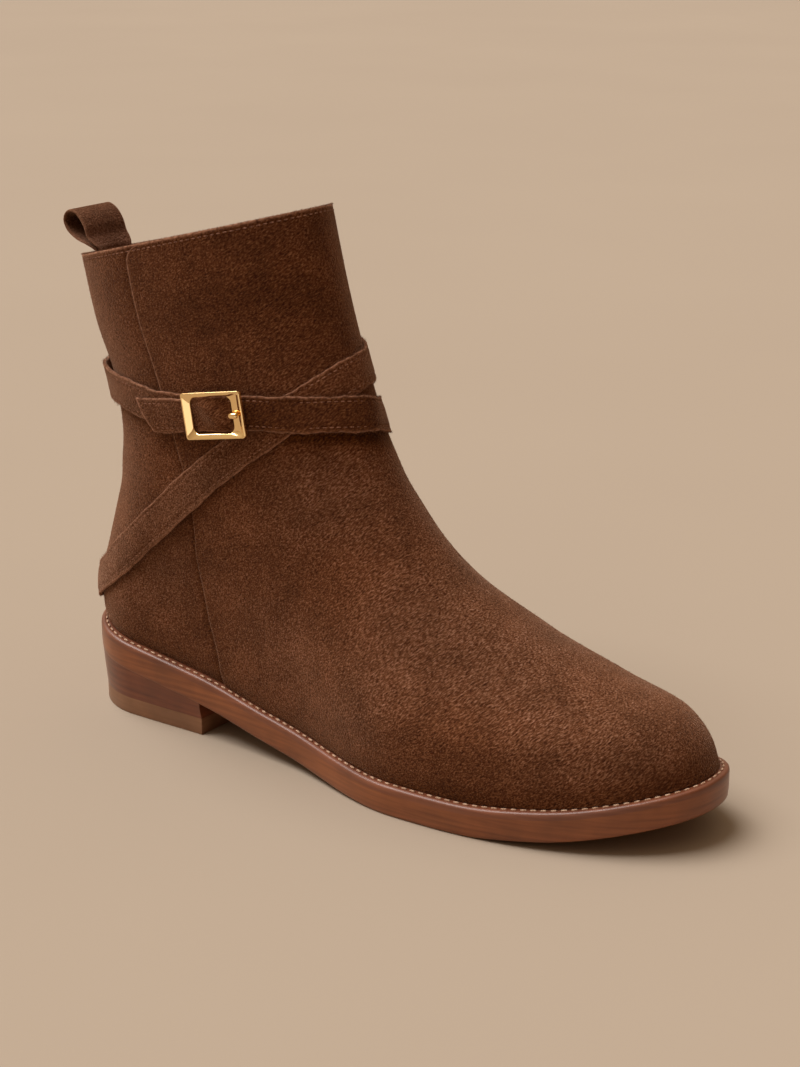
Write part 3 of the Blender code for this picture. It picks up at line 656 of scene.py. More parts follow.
def relief(place):
    """Soft folds: each is a trough with a low ridge above it, fading out along its length."""
    total = np.zeros(place.shape[:-1])
    for *centre, lean, long, wide, depth in zip(*FOLDS.values()):
        x, y, z = np.moveaxis(place - centre, -1, 0)
        across = z - lean * x
        shape = 0.7 * swell(across, 1.5 * wide, wide) - swell(across, 0, wide)
        total += depth * shape * swell(np.sqrt(x**2 + y**2), 0, long)
    x, y, z = np.moveaxis(place, -1, 0)
    slack = np.sin(x / 19 + 0.6 * np.sin(z / 23)) * np.sin(z / 27 + y / 31 + 1.1)
    return total + 0.16 * slack


# Tone patches: some are brushing of the nap, some painted highlight along the vamp's top and some painted
# shade, as just behind the seam's top.
PATCHES = table(
    "x y z size tone",
    [
        (152, -42, 34, 16, 0.22),
        (170, -24, 62, 28, 0.3),
        (205, -10, 50, 28, 0.3),
        (250, -6, 36, 16, 0.25),
        (112, -36, 50, 20, 0.22),
        (130, -34, 74, 14, -0.2),
        (196, -42, 26, 18, -0.25),
        (80, -34, 176, 26, -0.3),
        (106, -24, 182, 26, -0.3),
        (114, -4, 166, 26, -0.3),
        (70, -33, 118, 16, -0.2),
        (22, -28, 150, 20, 0.15),
        (48, -32, 64, 20, 0.25),
        (20, -28, 56, 18, 0.3),
        (112, -14, 96, 18, 0.2),
        (33, -30, 176, 14, -0.4),
        (128, -20, 112, 22, 0.2),
        (235, -24, 34, 22, 0.15),
        (236, 19, 44, 13, 0.42),
        (203, 14, 57, 13, 0.45),
        (170, 9, 75, 12, 0.45),
        (148, 8, 94, 11, 0.35),
        (150, 34, 60, 30, 0.3),
        (60, 34, 150, 30, -0.2),
        (100, 30, 90, 26, -0.3),
        (210, 34, 34, 22, 0.25),
        (20, 26, 70, 24, 0.25),
    ],
)


def nap_and_painted_light(place):
    """Brushing of the nap and painted light: soft round patches that read lighter or darker; some are painted
    highlight along the vamp's top, some painted shade.
    """
    total = np.zeros(place.shape[:-1])
    for *centre, size, shade in zip(*PATCHES.values()):
        total += shade * swell(np.linalg.norm(place - centre, axis=-1), 0, size)
    return total


NAP_LIE = (0.56, 0.61, 0.57)
FIBRE_LEAN = 0.5
FIBRE_RADIUS = 0.055


def mark_of(tree, label):
    """Number kept at the piece's points under a label."""
    node = tree.nodes.new("ShaderNodeAttribute")
    node.attribute_name = label
    return node.outputs["Fac"]


def summed(tree, operation, first, second):
    """Two values put together by one operation."""
    node = tree.nodes.new("ShaderNodeMath")
    node.operation = operation
    tree.links.new(first, node.inputs[0])
    tree.links.new(second, node.inputs[1])
    return node.outputs["Value"]


def suede(name, dark, mid, light, raw_edge):
    """Suede: fine fibres, pale specks, cloudy nap, a tone mark of nap brushing with painted highlight and
    shade, pale raw edges and a dull sheen.
    """
    material, tree, shader = shader_of(name, 0.95, 0.12)
    fibre = grain(tree, 1.0, 3.0, (2300, 2300, 800), NAP_LIE)
    speck = grain(tree, 1.0, 2.0, (1700, 1700, 900), NAP_LIE)
    grit = grain(tree, 1.0, 2.0, (1500, 1500, 700), NAP_LIE)
    pucker = grain(tree, 105.0, 4.0)
    cloud = grain(tree, 42.0, 4.0)
    colour = ramp(tree, fibre, [(0.34, dark), (0.5, mid), (0.67, light)])
    changes = (
        (grit, (0.58, 0.45, 0.32), (1.36, 1.55, 1.78)),
        (pucker, (0.84, 0.82, 0.78), (1.16, 1.19, 1.25)),
        (cloud, (0.83, 0.81, 0.77), (1.16, 1.19, 1.25)),
    )
    for noise, low, high in changes:
        tone = ramp(tree, noise, [(0.3, low), (0.7, high)])
        colour = mixed(tree, "MULTIPLY", 1.0, colour, tone)
    # The tone mark lightens or darkens the colour: brushing of the nap, and painted highlight and shade.
    span = tree.nodes.new("ShaderNodeMapRange")
    span.inputs["From Min"].default_value = -1
    tree.links.new(mark_of(tree, "tone"), span.inputs["Value"])
    nap_and_light_colours = [(0, (0.48, 0.35, 0.06)), (0.5, (1, 1, 1)), (1, (1.4, 1.85, 2.7))]
    colour = mixed(tree, "MULTIPLY", 1.0, colour, ramp(tree, span.outputs["Result"], nap_and_light_colours))
    glint = ramp(tree, speck, [(0.6, (0, 0, 0)), (0.76, (0.35, 0.35, 0.35))])
    colour = mixed(tree, "MIX", glint, colour, tuple(1.3 * value for value in light))
    worn = ramp(tree, grain(tree, 700.0, 3.0), [(0.35, (0.25,) * 3), (0.6, (1,) * 3)])
    colour = mixed(tree, "MIX", summed(tree, "MULTIPLY", mark_of(tree, "raw"), worn), colour, raw_edge)
    tree.links.new(colour, shader.inputs["Base Color"])
    shader.inputs["Sheen Weight"].default_value = 0.35
    shader.inputs["Sheen Roughness"].default_value = 0.3
    shader.inputs["Sheen Tint"].default_value = (1.0, 0.6, 0.4, 1)
    bump(tree, shader, summed(tree, "ADD", fibre, grit), 0.8, 0.0006)
    return material


def fibres(name, roots, out, length, material, seed, pale=0.3):
    """Furry edge: thin three-sided spikes on the roots, each leaning at random from the way out."""
    chance = np.random.default_rng(seed)
    count = len(roots)
    way = unit(out + chance.normal(0, FIBRE_LEAN, (count, 3)))
    first = unit(np.cross(way, chance.normal(0, 1, (count, 3))))
    second = np.cross(way, first)
    angle = np.radians([0, 120, 240])[None, :, None]
    round_root = np.cos(angle) * first[:, None] + np.sin(angle) * second[:, None]
    ring = roots[:, None] + FIBRE_RADIUS * round_root
    tip = roots + way * length * chance.uniform(0.3, 1.0, (count, 1))
    points = np.concatenate([ring, tip[:, None]], 1)
    corners = np.array([(0, 1, 3), (1, 2, 3), (2, 0, 3), (0, 2, 1)])
    faces = np.arange(count)[:, None, None] * 4 + corners
    marks = {"raw": np.full(4 * count, pale), "tone": np.repeat(nap_and_painted_light(roots) * 0.6, 4)}
    fur = piece(name, points.reshape(-1, 3), faces.reshape(-1, 3), material, marks, sharp=180)
    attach(fur, "boot")
    return fur


# Height of the buckle strap's lower edge by turn; the suede just below it gets a painted shadow.
UNDER_STRAP = table(
    "turn height",
    [
        (112.0, 125.8),
        (120.0, 126.7),
        (150.0, 126.8),
        (177.0, 125.0),
        (190.0, 123.4),
    ],
)
BROWN_DARK = (0.0545, 0.0149, 0.0039)
BROWN_MID = (0.1125, 0.036, 0.0117)
BROWN_LIGHT = (0.207, 0.083, 0.0375)
RAW_EDGE = (0.45, 0.225, 0.14)
NAP_FIBRES = 30000
COLLAR_FIBRES = 2600
SEAM_FIBRES = 1100
MM_PER_TURN = 55.0
COLLAR_ROW = 2.2
ZIP_ROW = 4.2
RIM_LEVEL = 0.975
SEAM_MARGIN = 0.04
ZIP_MARGIN = 0.05
SLOT_CELLS = 3
FAR = 99.0
STRAP_SHADOW_TONE = 1.1
STRAP_SHADOW_BELOW = 1.5
STRAP_SHADOW_SPREAD = 3.0
STRAP_SHADOW_FADE = 4.0

level = np.concatenate(
    [
        np.linspace(0, ZIP_FOOT, 22, endpoint=False),
        ZIP_FOOT + (RIM_LEVEL - ZIP_FOOT) * np.linspace(0, 1, 96, endpoint=False),
        RIM_LEVEL + (1 - RIM_LEVEL) * np.linspace(0, 1, 14) ** 0.6,
    ]
)[:, None]
seam = np.radians(column(SEAM, "level", "turn", level))
zip_front, zip_rear = zip_edges(level)
lap = np.array([[-0.006, 0.0, 0.004, 0.01, 0.017]])
lap_lift = np.array([-0.1, 0.4, 0.7, 0.8, PANEL_STEP])
front_line = np.full_like(level, np.pi)
# Columns go round the boot in stretches, closer together at the seam and beside the zip's slot.
# Each stretch has its start, its end, its count and the lift of its panel.
stretches = [
    (np.zeros_like(level), seam - SEAM_MARGIN, 44, 0.0),
    (seam - SEAM_MARGIN, seam - 0.006, 4, 0.0),
    (seam + 0.02, front_line, 76, PANEL_STEP),
    (front_line, zip_front - ZIP_MARGIN, 72, PANEL_STEP),
    (zip_front - ZIP_MARGIN, zip_front, 8, PANEL_STEP),
    (zip_front, zip_rear, SLOT_CELLS, PANEL_STEP),
    (zip_rear, zip_rear + ZIP_MARGIN, 8, 0.0),
    (zip_rear + ZIP_MARGIN, 2 * front_line, 50, 0.0),
]
turns = []
lifts = []
for k, (start, end, cells, panel) in enumerate(stretches):
    share = np.arange(cells) / cells
    turns.append(start + (end - start) * share)
    lifts.append(np.full(cells, panel))
    if k == 1:
        turns.append(seam + lap)
        lifts.append(lap_lift)
slot_from = sum(part.shape[1] for part in turns[:6])
slot_to = slot_from + SLOT_CELLS
turn = np.concatenate(turns, 1)
lift = np.concatenate(lifts)[None, :] * np.ones_like(level)
base = upper_base(turn, level)
to_slot = np.minimum(np.abs(turn - zip_front), np.abs(turn - zip_rear)) * MM_PER_TURN
to_slot = np.where(level >= ZIP_FOOT, to_slot, FAR)
to_collar = (1 - level) * (collar(base[..., 0], turn) - welt_top(base[..., 0]))
to_seam = np.abs(turn - seam) * MM_PER_TURN
in_front = (turn > seam - 0.001) & (turn < zip_front + 0.001)
near_edge = np.minimum(to_slot, to_collar)
rounding = 0.45 * (1 - round_end(near_edge / 0.8, 2))
crevice = np.where(turn < seam, 0.25 * swell(to_seam, 0, 1.2), 0.0)
groove = 0.16 * (swell(to_collar, COLLAR_ROW, 0.5) + swell(to_slot, ZIP_ROW, 0.5) * (turn < zip_front))
soft = relief(base) * np.clip(near_edge / 14, 0, 1) * np.clip(level / 0.12, 0, 1)
outer = on_upper(turn, level, lift - rounding - crevice - groove + soft)
inner = on_upper(turn, level, np.minimum(lift, 0.0) - SUEDE_THICK + np.minimum(soft, 0))
for grid in (outer, inner):
    grid[0, :, 2] = welt_top(grid[0, :, 0]) + GAP
    grid[-1, :, 2] = collar(grid[-1, :, 0], turn[-1])
present = np.ones((len(level) - 1, turn.shape[1]), bool)
present[(level[:-1, 0] >= ZIP_FOOT - 1e-6), slot_from:slot_to] = False
raw = np.maximum(swell(to_collar, 0, 0.7), swell(to_slot, 0, 0.5) * 0.7)
cut_edge = np.clip((level - 0.42) / 0.2, 0.08, 1)
raw = np.maximum(raw, np.where(in_front, cut_edge * swell(to_seam, 0, 0.7), 0.0))
# Tone: the patches, then painted shade along the foot where the upper meets the welt and on the back panel
# just behind the lapped seam; the seam's lower half gets a dark line.
tone = nap_and_painted_light(base) - 0.5 * swell(level, 0, 0.02)
tone = tone - np.where(turn < seam, 0.5 * swell(to_seam, 0, 1.5), 0.0)
tone = tone - 0.6 * (1 - cut_edge) * swell(to_seam, 0, 0.9)
# Painted shadow on the suede just below the buckle strap's lower edge, fading out past both ends of the
# table.
strap_turn = np.clip(np.degrees(turn), UNDER_STRAP["turn"][0], UNDER_STRAP["turn"][-1])
strap_foot = column(UNDER_STRAP, "turn", "height", strap_turn)
strap_shadow = swell(np.degrees(turn), strap_turn, STRAP_SHADOW_FADE)
tone = tone - STRAP_SHADOW_TONE * strap_shadow * swell(base[..., 2], strap_foot - STRAP_SHADOW_BELOW, STRAP_SHADOW_SPREAD)
upper_points, upper_faces = shell(outer, inner, present)
upper_marks = {"raw": both_faces(raw), "tone": both_faces(tone)}
upper_suede = suede("upper_suede", BROWN_DARK, BROWN_MID, BROWN_LIGHT, RAW_EDGE)
upper = piece("upper", upper_points, upper_faces, upper_suede, upper_marks, sharp=75)
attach(upper, "boot")
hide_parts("upper")

chance = np.random.default_rng(3)
fur_turn = chance.uniform(0, 2 * np.pi, COLLAR_FIBRES)
fur_level = np.full(COLLAR_FIBRES, 0.9995)
fur_lift = np.where((fur_turn > seam[-1]) & (fur_turn < zip_front[-1]), PANEL_STEP, 0.0) - 0.25
fur_roots = on_upper(fur_turn, fur_level, fur_lift)
off_slot = (fur_turn < zip_front[-1]) | (fur_turn > zip_rear[-1])
fur_out = upper_normal(fur_turn, fur_level) * 0.7 + np.array([0.0, 0.0, 0.8])
collar_fur = fibres("collar_fur", fur_roots[off_slot], fur_out[off_slot], 0.9, upper_suede, 5)
corner = outer[:-1, :-1].reshape(-1, 3)
per_step = outer[:-1, 1:].reshape(-1, 3) - corner
per_rise = outer[1:, :-1].reshape(-1, 3) - corner
cell_out = np.cross(per_step, per_rise)
cell_size = np.linalg.norm(cell_out, axis=-1) * present[:, :-1].ravel()
cell = chance.choice(cell_size.size, NAP_FIBRES, p=cell_size / cell_size.sum())
nap_share = chance.uniform(0, 1, (NAP_FIBRES, 2))
nap_roots = corner[cell] + nap_share[:, :1] * per_step[cell] + nap_share[:, 1:] * per_rise[cell]
upper_nap = fibres("upper_nap", nap_roots, unit(cell_out[cell]), 0.6, upper_suede, 11, pale=0.05)
fur_level = chance.uniform(0.5, 0.97, SEAM_FIBRES)
fur_turn = np.radians(column(SEAM, "level", "turn", fur_level)) + 0.001
fur_out = upper_normal(fur_turn, fur_level) * 0.6 - unit(upper_slopes(fur_turn, fur_level)[0]) * 0.8
fur_roots = on_upper(fur_turn, fur_level, chance.uniform(0.3, 0.75, SEAM_FIBRES))
seam_fur = fibres("seam_fur", fur_roots, fur_out, 0.7, upper_suede, 7)

# Lining
# Smooth pinkish-tan leather glued inside the suede, cut level with the collar.
# It is open along the zip, where the zip's tape is sewn between lining and suede.
LINING_OUT = -0.97
LINING_IN = -1.8
LINING_CELLS = 110
lining_level = np.linspace(0.012, ZIP_FOOT, 8, endpoint=False)
lining_level = np.concatenate([lining_level, np.linspace(ZIP_FOOT, 0.998, 60)])[:, None]
lining_front, lining_rear = zip_edges(lining_level, extra=3.0)
lining_turn = np.concatenate(
    [
        lining_front * np.linspace(0, 1, LINING_CELLS, endpoint=False),
        lining_front + (lining_rear - lining_front) * np.array([0, 0.5]),
        lining_rear + (2 * np.pi - lining_rear) * np.linspace(0, 1, 40, endpoint=False),
    ],
    1,
)
lining_present = np.ones((len(lining_level) - 1, lining_turn.shape[1]), bool)
lining_present[lining_level[:-1, 0] >= ZIP_FOOT - 1e-6, LINING_CELLS : LINING_CELLS + 2] = False
lining_grids = []
for lift_in in (LINING_OUT, LINING_IN):
    grid = on_upper(lining_turn, lining_level, lift_in)
    grid[-1, :, 2] = collar(grid[-1, :, 0], lining_turn[-1]) - 0.15
    lining_grids.append(grid)
lining_leather = smooth_leather("lining_leather", (0.3, 0.14, 0.085), (0.4, 0.21, 0.13), 0.62, 1100.0)
lining = piece("lining", *shell(*lining_grids, lining_present), lining_leather, sharp=60)
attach(lining, "boot")

# Collar and zip stitching
# Single rows of brown thread: one along the collar just below its raw edge, one in front of the zip.
# They hold suede, lining and zip tape together.
brown_thread = thread("brown_thread", (0.1, 0.036, 0.017), (0.34, 0.16, 0.095))
FINE_STITCH = (1.7, 0.5, 0.42)
FINE_PITCH = 2.5


def fine_row(name, line, out):
    """Row of fine stitches along a line, upright on the ways out."""
    spots, along, out = spaced(line, FINE_PITCH, np.gradient(line, axis=0), out)
    row = stitches(name, spots, unit(along), unit(out), FINE_STITCH, brown_thread)
    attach(row, "boot")


def upper_row(name, turn, level, lift):
    """Row of fine stitches along turns and levels of the upper."""
    fine_row(name, on_upper(turn, level, lift), upper_normal(turn, level))


ends = np.array([zip_rear[-1, 0] + 0.03, zip_front[-1, 0] + 2 * np.pi - 0.02])
rim_turn = np.linspace(*ends, 900)
rim_x = upper_x(rim_turn, np.ones_like(rim_turn))
rim_level = 1 - COLLAR_ROW / (collar(rim_x, rim_turn) - welt_top(rim_x))
rim_seam = column(SEAM, "level", "turn", np.array(0.985))
rim_lift = np.where(np.degrees(rim_turn) - 360 > rim_seam, PANEL_STEP, 0.0)
upper_row("collar_stitches", rim_turn, rim_level, rim_lift - 0.02)
run_level = np.linspace(ZIP_FOOT + 0.01, 0.985, 400)
run_turn = zip_edges(run_level)[0] - ZIP_ROW / MM_PER_TURN
upper_row("zip_stitches", run_turn, run_level, PANEL_STEP - 0.02)

# Zip tape and coil
# A closed nylon coil zip in a slot on the inner side: dark woven tape and two rows of coil turns that mesh.
# The tape is sewn in behind the suede's edges.
TAPE_FACE = -1.0
TAPE_BACK = -1.5
COIL_LIFT = -0.45
COIL_PITCH = 1.25
COIL_REACH = 3.1
COIL_PAD = (COIL_REACH * 1.15, 0.95, 1.3)


def woven(name, dark, light):
    """Close woven tape: fine noise stretched into short upright ribs."""
    material, tree, shader = shader_of(name, 0.75, 0.3)
    rib = grain(tree, 1.0, 1.0, (2600, 2600, 900))
    tinted(tree, shader, rib, (0.35, dark), (0.65, light))
    bump(tree, shader, rib, 0.5, 0.0003)
    return material


tape_level = np.linspace(ZIP_FOOT - 0.012, 0.994, 160)[:, None]
tape_front, tape_rear = zip_edges(tape_level, extra=2.3)
tape_turn = tape_front + (tape_rear - tape_front) * np.linspace(0, 1, 9)
tape_face = on_upper(tape_turn, tape_level, TAPE_FACE)
tape_back = on_upper(tape_turn, tape_level, TAPE_BACK)


def sheet_faces(rows, columns):
    """Quads of a closed sheet: a face grid, a back grid and the rim that joins their borders."""
    index = np.arange(rows * columns).reshape(rows, columns)
    face = np.stack([index[:-1, :-1], index[:-1, 1:], index[1:, 1:], index[1:, :-1]], -1).reshape(-1, 4)
    border = np.concatenate([index[0, :-1], index[:-1, -1], index[-1, :0:-1], index[:0:-1, 0]])
    following = np.roll(border, -1)
    rim = np.stack([border, border + index.size, following + index.size, following], -1)
    return np.concatenate([face, face[:, ::-1] + index.size, rim])


def sheet(name, face, back, material, marks=None, sharp=60):
    """Closed sheet between two grids of the same size."""
    points = np.concatenate([face.reshape(-1, 3), back.reshape(-1, 3)])
    return piece(name, points, sheet_faces(*face.shape[:2]), material, marks, sharp)


tape_weave = woven("zip_tape", (0.006, 0.004, 0.004), (0.022, 0.015, 0.014))
zip_tape = sheet("zip_tape", tape_face, tape_back, tape_weave)
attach(zip_tape, "boot")
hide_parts("zip_chain")

coil_level = np.linspace(ZIP_FOOT + 0.004, 0.93, 500)
coil_turn = zip_turn(coil_level)
coil_path = on_upper(coil_turn, coil_level, COIL_LIFT)
coil_spots, coil_along, coil_out = spaced(
    coil_path, COIL_PITCH, np.gradient(coil_path, axis=0), upper_normal(coil_turn, coil_level)
)
coil_along = unit(coil_along)
coil_side = unit(np.cross(coil_out, coil_along))
nylon, nylon_tree, nylon_shader = shader_of("coil_nylon", 0.26, 0.6)
nylon_tone = grain(nylon_tree, 900.0, 2.0)
tinted(nylon_tree, nylon_shader, nylon_tone, (0.3, (0.02, 0.017, 0.018)), (0.7, (0.04, 0.035, 0.036)))
for name, side in (("coil_front", -1.0), ("coil_rear", 1.0)):
    shift = (0.5 + 0.25 * side) * COIL_PITCH
    middle = coil_spots + coil_along * shift + coil_side * side * COIL_REACH * 0.33
    lean = unit(coil_side + 0.22 * side * coil_along)
    coil = stitches(name, middle, lean, coil_out, COIL_PAD, nylon)
    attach(coil, "boot")

# Zip slider and pull tab
# Cast metal in a dark nickel finish: a slider at the top of the zip with a bridge, and a flat tab on it.
# The tab has a pointed head, a long slot, a bare face and a square hole, and it hangs on its top bar.
SLIDER_HEIGHT = 185.6
SLIDER_LENGTH = 11.0
SLIDER_WIDTH = 10.4
SLIDER_LIFT = 1.2
SLIDER_THICK = 2.6
SLIDER_CORNER = 2.4
SLIDER_TAPER = 2.4
SLIDER_CHAMFER = 0.9
FLANGE_WIDTH = 1.2
FLANGE_SHORTER = 2.2
FLANGE_DEPTH = 2.2
FLANGE_INSET = 1.6
FLANGE_DROP = 0.9
FLANGE_UP = 0.4
BRIDGE_WIDTH = 2.6
BRIDGE_THICK = 1.2
BRIDGE_LENGTH = 8.8
BRIDGE_ROOM = 2.4
BRIDGE_SUNK = 1.0
PULL_AXIS_UP = 1.2
PULL_LENGTH = 31.0
PULL_TOP_WIDTH = 7.6
PULL_FOOT_WIDTH = 6.6
PULL_THICK = 1.5
PULL_SLOT = (3.8, 9.5)
PULL_HOLE = (3.6, 4.4)
PULL_FOOT_BAR = 1.6
PULL_CORNER = 0.5
PULL_CHAMFER = 0.28


def slider_axes():
    """Slider frame at the zip's top: x along the hinge, y up the zip, z straight out from the boot."""
    level = np.array(0.9)
    for _ in range(6):
        turn = zip_turn(level)
        level = level_at(turn, np.array(SLIDER_HEIGHT))
    lower = upper_base(zip_turn(level - 0.1), level - 0.1)
    here = upper_base(turn, level)
    out = unit(upper_normal(turn, level) * (1, 1, 0))
    up = here - lower
    up = unit(up - out * (up @ out))
    return here, np.cross(up, out), up, out


def rounded(width, height, radius, centre=(0.0, 0.0), foot_width=None, steps=6):
    """Rectangle with round corners, or a taper where the foot has its own width."""
    foot_width = width if foot_width is None else foot_width
    quarter = np.radians(np.linspace(0, 90, steps))
    outline = []
    for k, (sx, sy) in enumerate(((1, 1), (-1, 1), (-1, -1), (1, -1))):
        half = (width if sy > 0 else foot_width) / 2 - radius
        x = centre[0] + sx * half + radius * np.cos(quarter + k * np.pi / 2)
        y = centre[1] + sy * (height / 2 - radius) + radius * np.sin(quarter + k * np.pi / 2)
        outline.append(np.stack([x, y], -1))
    return np.concatenate(outline)


def stamped(name, outlines, thickness, chamfer, origin, axes, material):
    """Flat metal piece from closed outlines, with chamfered edges, placed by its own three axes."""
    curve = bpy.data.curves.new(name, "CURVE")
    curve.dimensions = "2D"
    curve.fill_mode = "BOTH"
    curve.extrude = (thickness / 2 - chamfer) * MM
    curve.bevel_depth = chamfer * MM
    curve.bevel_resolution = 4
    curve.offset = -chamfer * MM
    for outline in outlines:
        spline = curve.splines.new("POLY")
        spline.points.add(len(outline) - 1)
        flat = np.column_stack([outline * MM, np.zeros(len(outline)), np.ones(len(outline))])
        spline.points.foreach_set("co", flat.ravel())
        spline.use_cyclic_u = True
    flat_piece = linked(name, curve)
    bpy.context.view_layer.update()
    mesh = bpy.data.meshes.new_from_object(flat_piece.evaluated_get(bpy.context.evaluated_depsgraph_get()))
    bpy.data.objects.remove(flat_piece)
    turn = Matrix([Vector(axis) for axis in axes]).transposed().to_4x4()
    mesh.transform(Matrix.Translation(Vector((origin - BOX_CENTRE) * MM)) @ turn)
    return finished(name, mesh, material, sharp=38)


def cast_metal(name, colour, low, high, scuff_scale):
    """Metal with a finish that varies a little: cloudy roughness from low to high."""
    material, tree, shader = shader_of(name, low, 0.5, 1.0)
    shader.inputs["Base Color"].default_value = (*colour, 1)
    span = tree.nodes.new("ShaderNodeMapRange")
    span.inputs["To Min"].default_value = low
    span.inputs["To Max"].default_value = high
    tree.links.new(grain(tree, scuff_scale, 5.0), span.inputs["Value"])
    tree.links.new(span.outputs["Result"], shader.inputs["Roughness"])
    return material


here, along, up, out = slider_axes()
dark_nickel = cast_metal("dark_nickel", (0.19, 0.17, 0.175), 0.2, 0.42, 500.0)
slider = stamped(
    "zip_slider",
    [rounded(SLIDER_WIDTH, SLIDER_LENGTH, SLIDER_CORNER, foot_width=SLIDER_WIDTH - SLIDER_TAPER)],
    SLIDER_THICK,
    SLIDER_CHAMFER,
    here + out * (SLIDER_LIFT + SLIDER_THICK / 2),
    (along, up, out),
    dark_nickel,
)
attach(slider, "boot")
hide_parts("zip_slider")

bridge_height = BRIDGE_ROOM + BRIDGE_THICK + BRIDGE_SUNK
bridge_middle = bridge_height / 2 - BRIDGE_THICK - BRIDGE_ROOM / 2
bridge = stamped(
    "slider_bridge",
    [
        rounded(BRIDGE_LENGTH, bridge_height, 1.3),
        rounded(BRIDGE_LENGTH - 2 * BRIDGE_THICK, BRIDGE_ROOM, 0.6, (0, bridge_middle)),
    ],
    BRIDGE_WIDTH,
    0.25,
    here + out * (SLIDER_LIFT + SLIDER_THICK - BRIDGE_SUNK + bridge_height / 2),
    (up, out, along),
    dark_nickel,
)
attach(bridge, "boot")

for name, side in (("slider_flange_front", -1), ("slider_flange_rear", 1)):
    flange_place = here + along * side * (SLIDER_WIDTH / 2 - FLANGE_INSET)
    flange = stamped(
        name,
        [rounded(FLANGE_WIDTH, SLIDER_LENGTH - FLANGE_SHORTER, 0.5)],
        FLANGE_DEPTH,
        0.3,
        flange_place + out * (SLIDER_LIFT - FLANGE_DROP) + up * FLANGE_UP,
        (along, up, out),
        dark_nickel,
    )
    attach(flange, "boot")

axis = here + up * PULL_AXIS_UP + out * (SLIDER_LIFT + SLIDER_THICK + BRIDGE_ROOM / 2)
pull_top = PULL_THICK / 2
tab = np.array(
    [
        (1.3, pull_top),
        (PULL_TOP_WIDTH / 2 - 0.4, pull_top - 2.2),
        (PULL_TOP_WIDTH / 2, pull_top - 3.2),
        (PULL_FOOT_WIDTH / 2, pull_top - PULL_LENGTH + 0.7),
        (PULL_FOOT_WIDTH / 2 - 0.6, pull_top - PULL_LENGTH),
    ]
)
tab = np.concatenate([tab, tab[::-1] * (-1, 1)])
slot_length = PULL_SLOT[1] - pull_top
hole_middle = pull_top - PULL_LENGTH + PULL_FOOT_BAR + PULL_HOLE[1] / 2
zip_pull = stamped(
    "zip_pull",
    [
        tab,
        rounded(PULL_SLOT[0], slot_length, PULL_CORNER, (0, -pull_top - slot_length / 2)),
        rounded(*PULL_HOLE, PULL_CORNER, (0, hole_middle)),
    ],
    PULL_THICK,
    PULL_CHAMFER,
    axis,
    (along, up, out),
    dark_nickel,
)
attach(zip_pull, "zip_pull")
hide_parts("zip_pull")

# Straps
# Three cut strips of the same suede with raw, slightly furry edges and a fine row of stitches near each edge.
# One goes slantwise round ankle and heel, one over the front into the buckle, one round the back to it.
STRAP_WIDTH = 13.0
STRAP_THICK = 1.5
ON_BACK = GAP
ON_HEEL = GAP + 0.3
ON_FRONT = PANEL_STEP + 0.15
OVER_STRAP = ON_FRONT + STRAP_THICK + 0.15
DIAGONAL_PATH = table(
    "turn height lift",
    [
        (262.5, 147.2, ON_FRONT),
        (248.0, 147.4, ON_FRONT),
        (225.0, 147.4, ON_FRONT),
        (203.0, 147.2, ON_FRONT),
        (185.0, 146.9, ON_FRONT),
        (167.0, 144.7, ON_FRONT),
        (146.5, 139.0, ON_FRONT),
        (123.0, 128.0, ON_FRONT),
        (92.7, 109.0, ON_FRONT),
        (74.0, 94.9, ON_FRONT),
        (66.0, 88.2, ON_FRONT),
        (55.0, 78.3, ON_HEEL),
        (45.0, 69.2, ON_HEEL),
        (28.0, 54.2, ON_HEEL),
        (12.0, 45.3, ON_HEEL),
        (-4.0, 42.5, ON_HEEL),
        (-24.0, 41.7, ON_HEEL),
    ],
)
FRONT_PATH = table(
    "turn height lift",
    [
        (262.5, 116.0, ON_FRONT),
        (240.0, 121.6, ON_FRONT),
        (220.0, 125.4, ON_FRONT),
        (205.0, 127.7, ON_FRONT),
        (190.0, 129.9, ON_FRONT + 0.3),
        (177.0, 131.5, OVER_STRAP),
        (150.0, 133.3, OVER_STRAP),
        (120.0, 133.2, OVER_STRAP),
        (103.0, 131.5, OVER_STRAP),
        (83.0, 128.1, OVER_STRAP),
        (68.0, 125.8, OVER_STRAP - PANEL_STEP / 2),
    ],
)
TIP_SLANT = 4.4
BACK_PATH = table(
    "turn height lift",
    [
        (273.6, 142.3, ON_BACK),
        (290.0, 139.8, ON_BACK),
        (315.0, 137.2, ON_BACK + 0.6),
        (345.0, 134.6, ON_BACK + 2.2),
        (375.0, 132.8, ON_BACK + 2.2),
        (405.0, 131.4, ON_BACK + 0.4),
        (425.0, 130.2, ON_BACK),
        (436.0, 129.6, ON_FRONT),
        (456.0, 130.3, ON_FRONT),
    ],
)
BUCKLE_TURN = 103.2
strap_suede = suede("strap_suede", BROWN_DARK, BROWN_MID, BROWN_LIGHT, RAW_EDGE)
STITCH_FROM_EDGE = 1.9
STITCH_FROM_END = 2.4
STITCH_SINK = 0.34
GROOVE_DEPTH = 0.22
CROWN_FALL = 0.3
PUFF = 2.5
PUFF_SPREAD = 5.0
FUR_LENGTH = 1.25
FUR_PER_SAMPLE = 6
HALF_STRAP = STRAP_WIDTH / 2


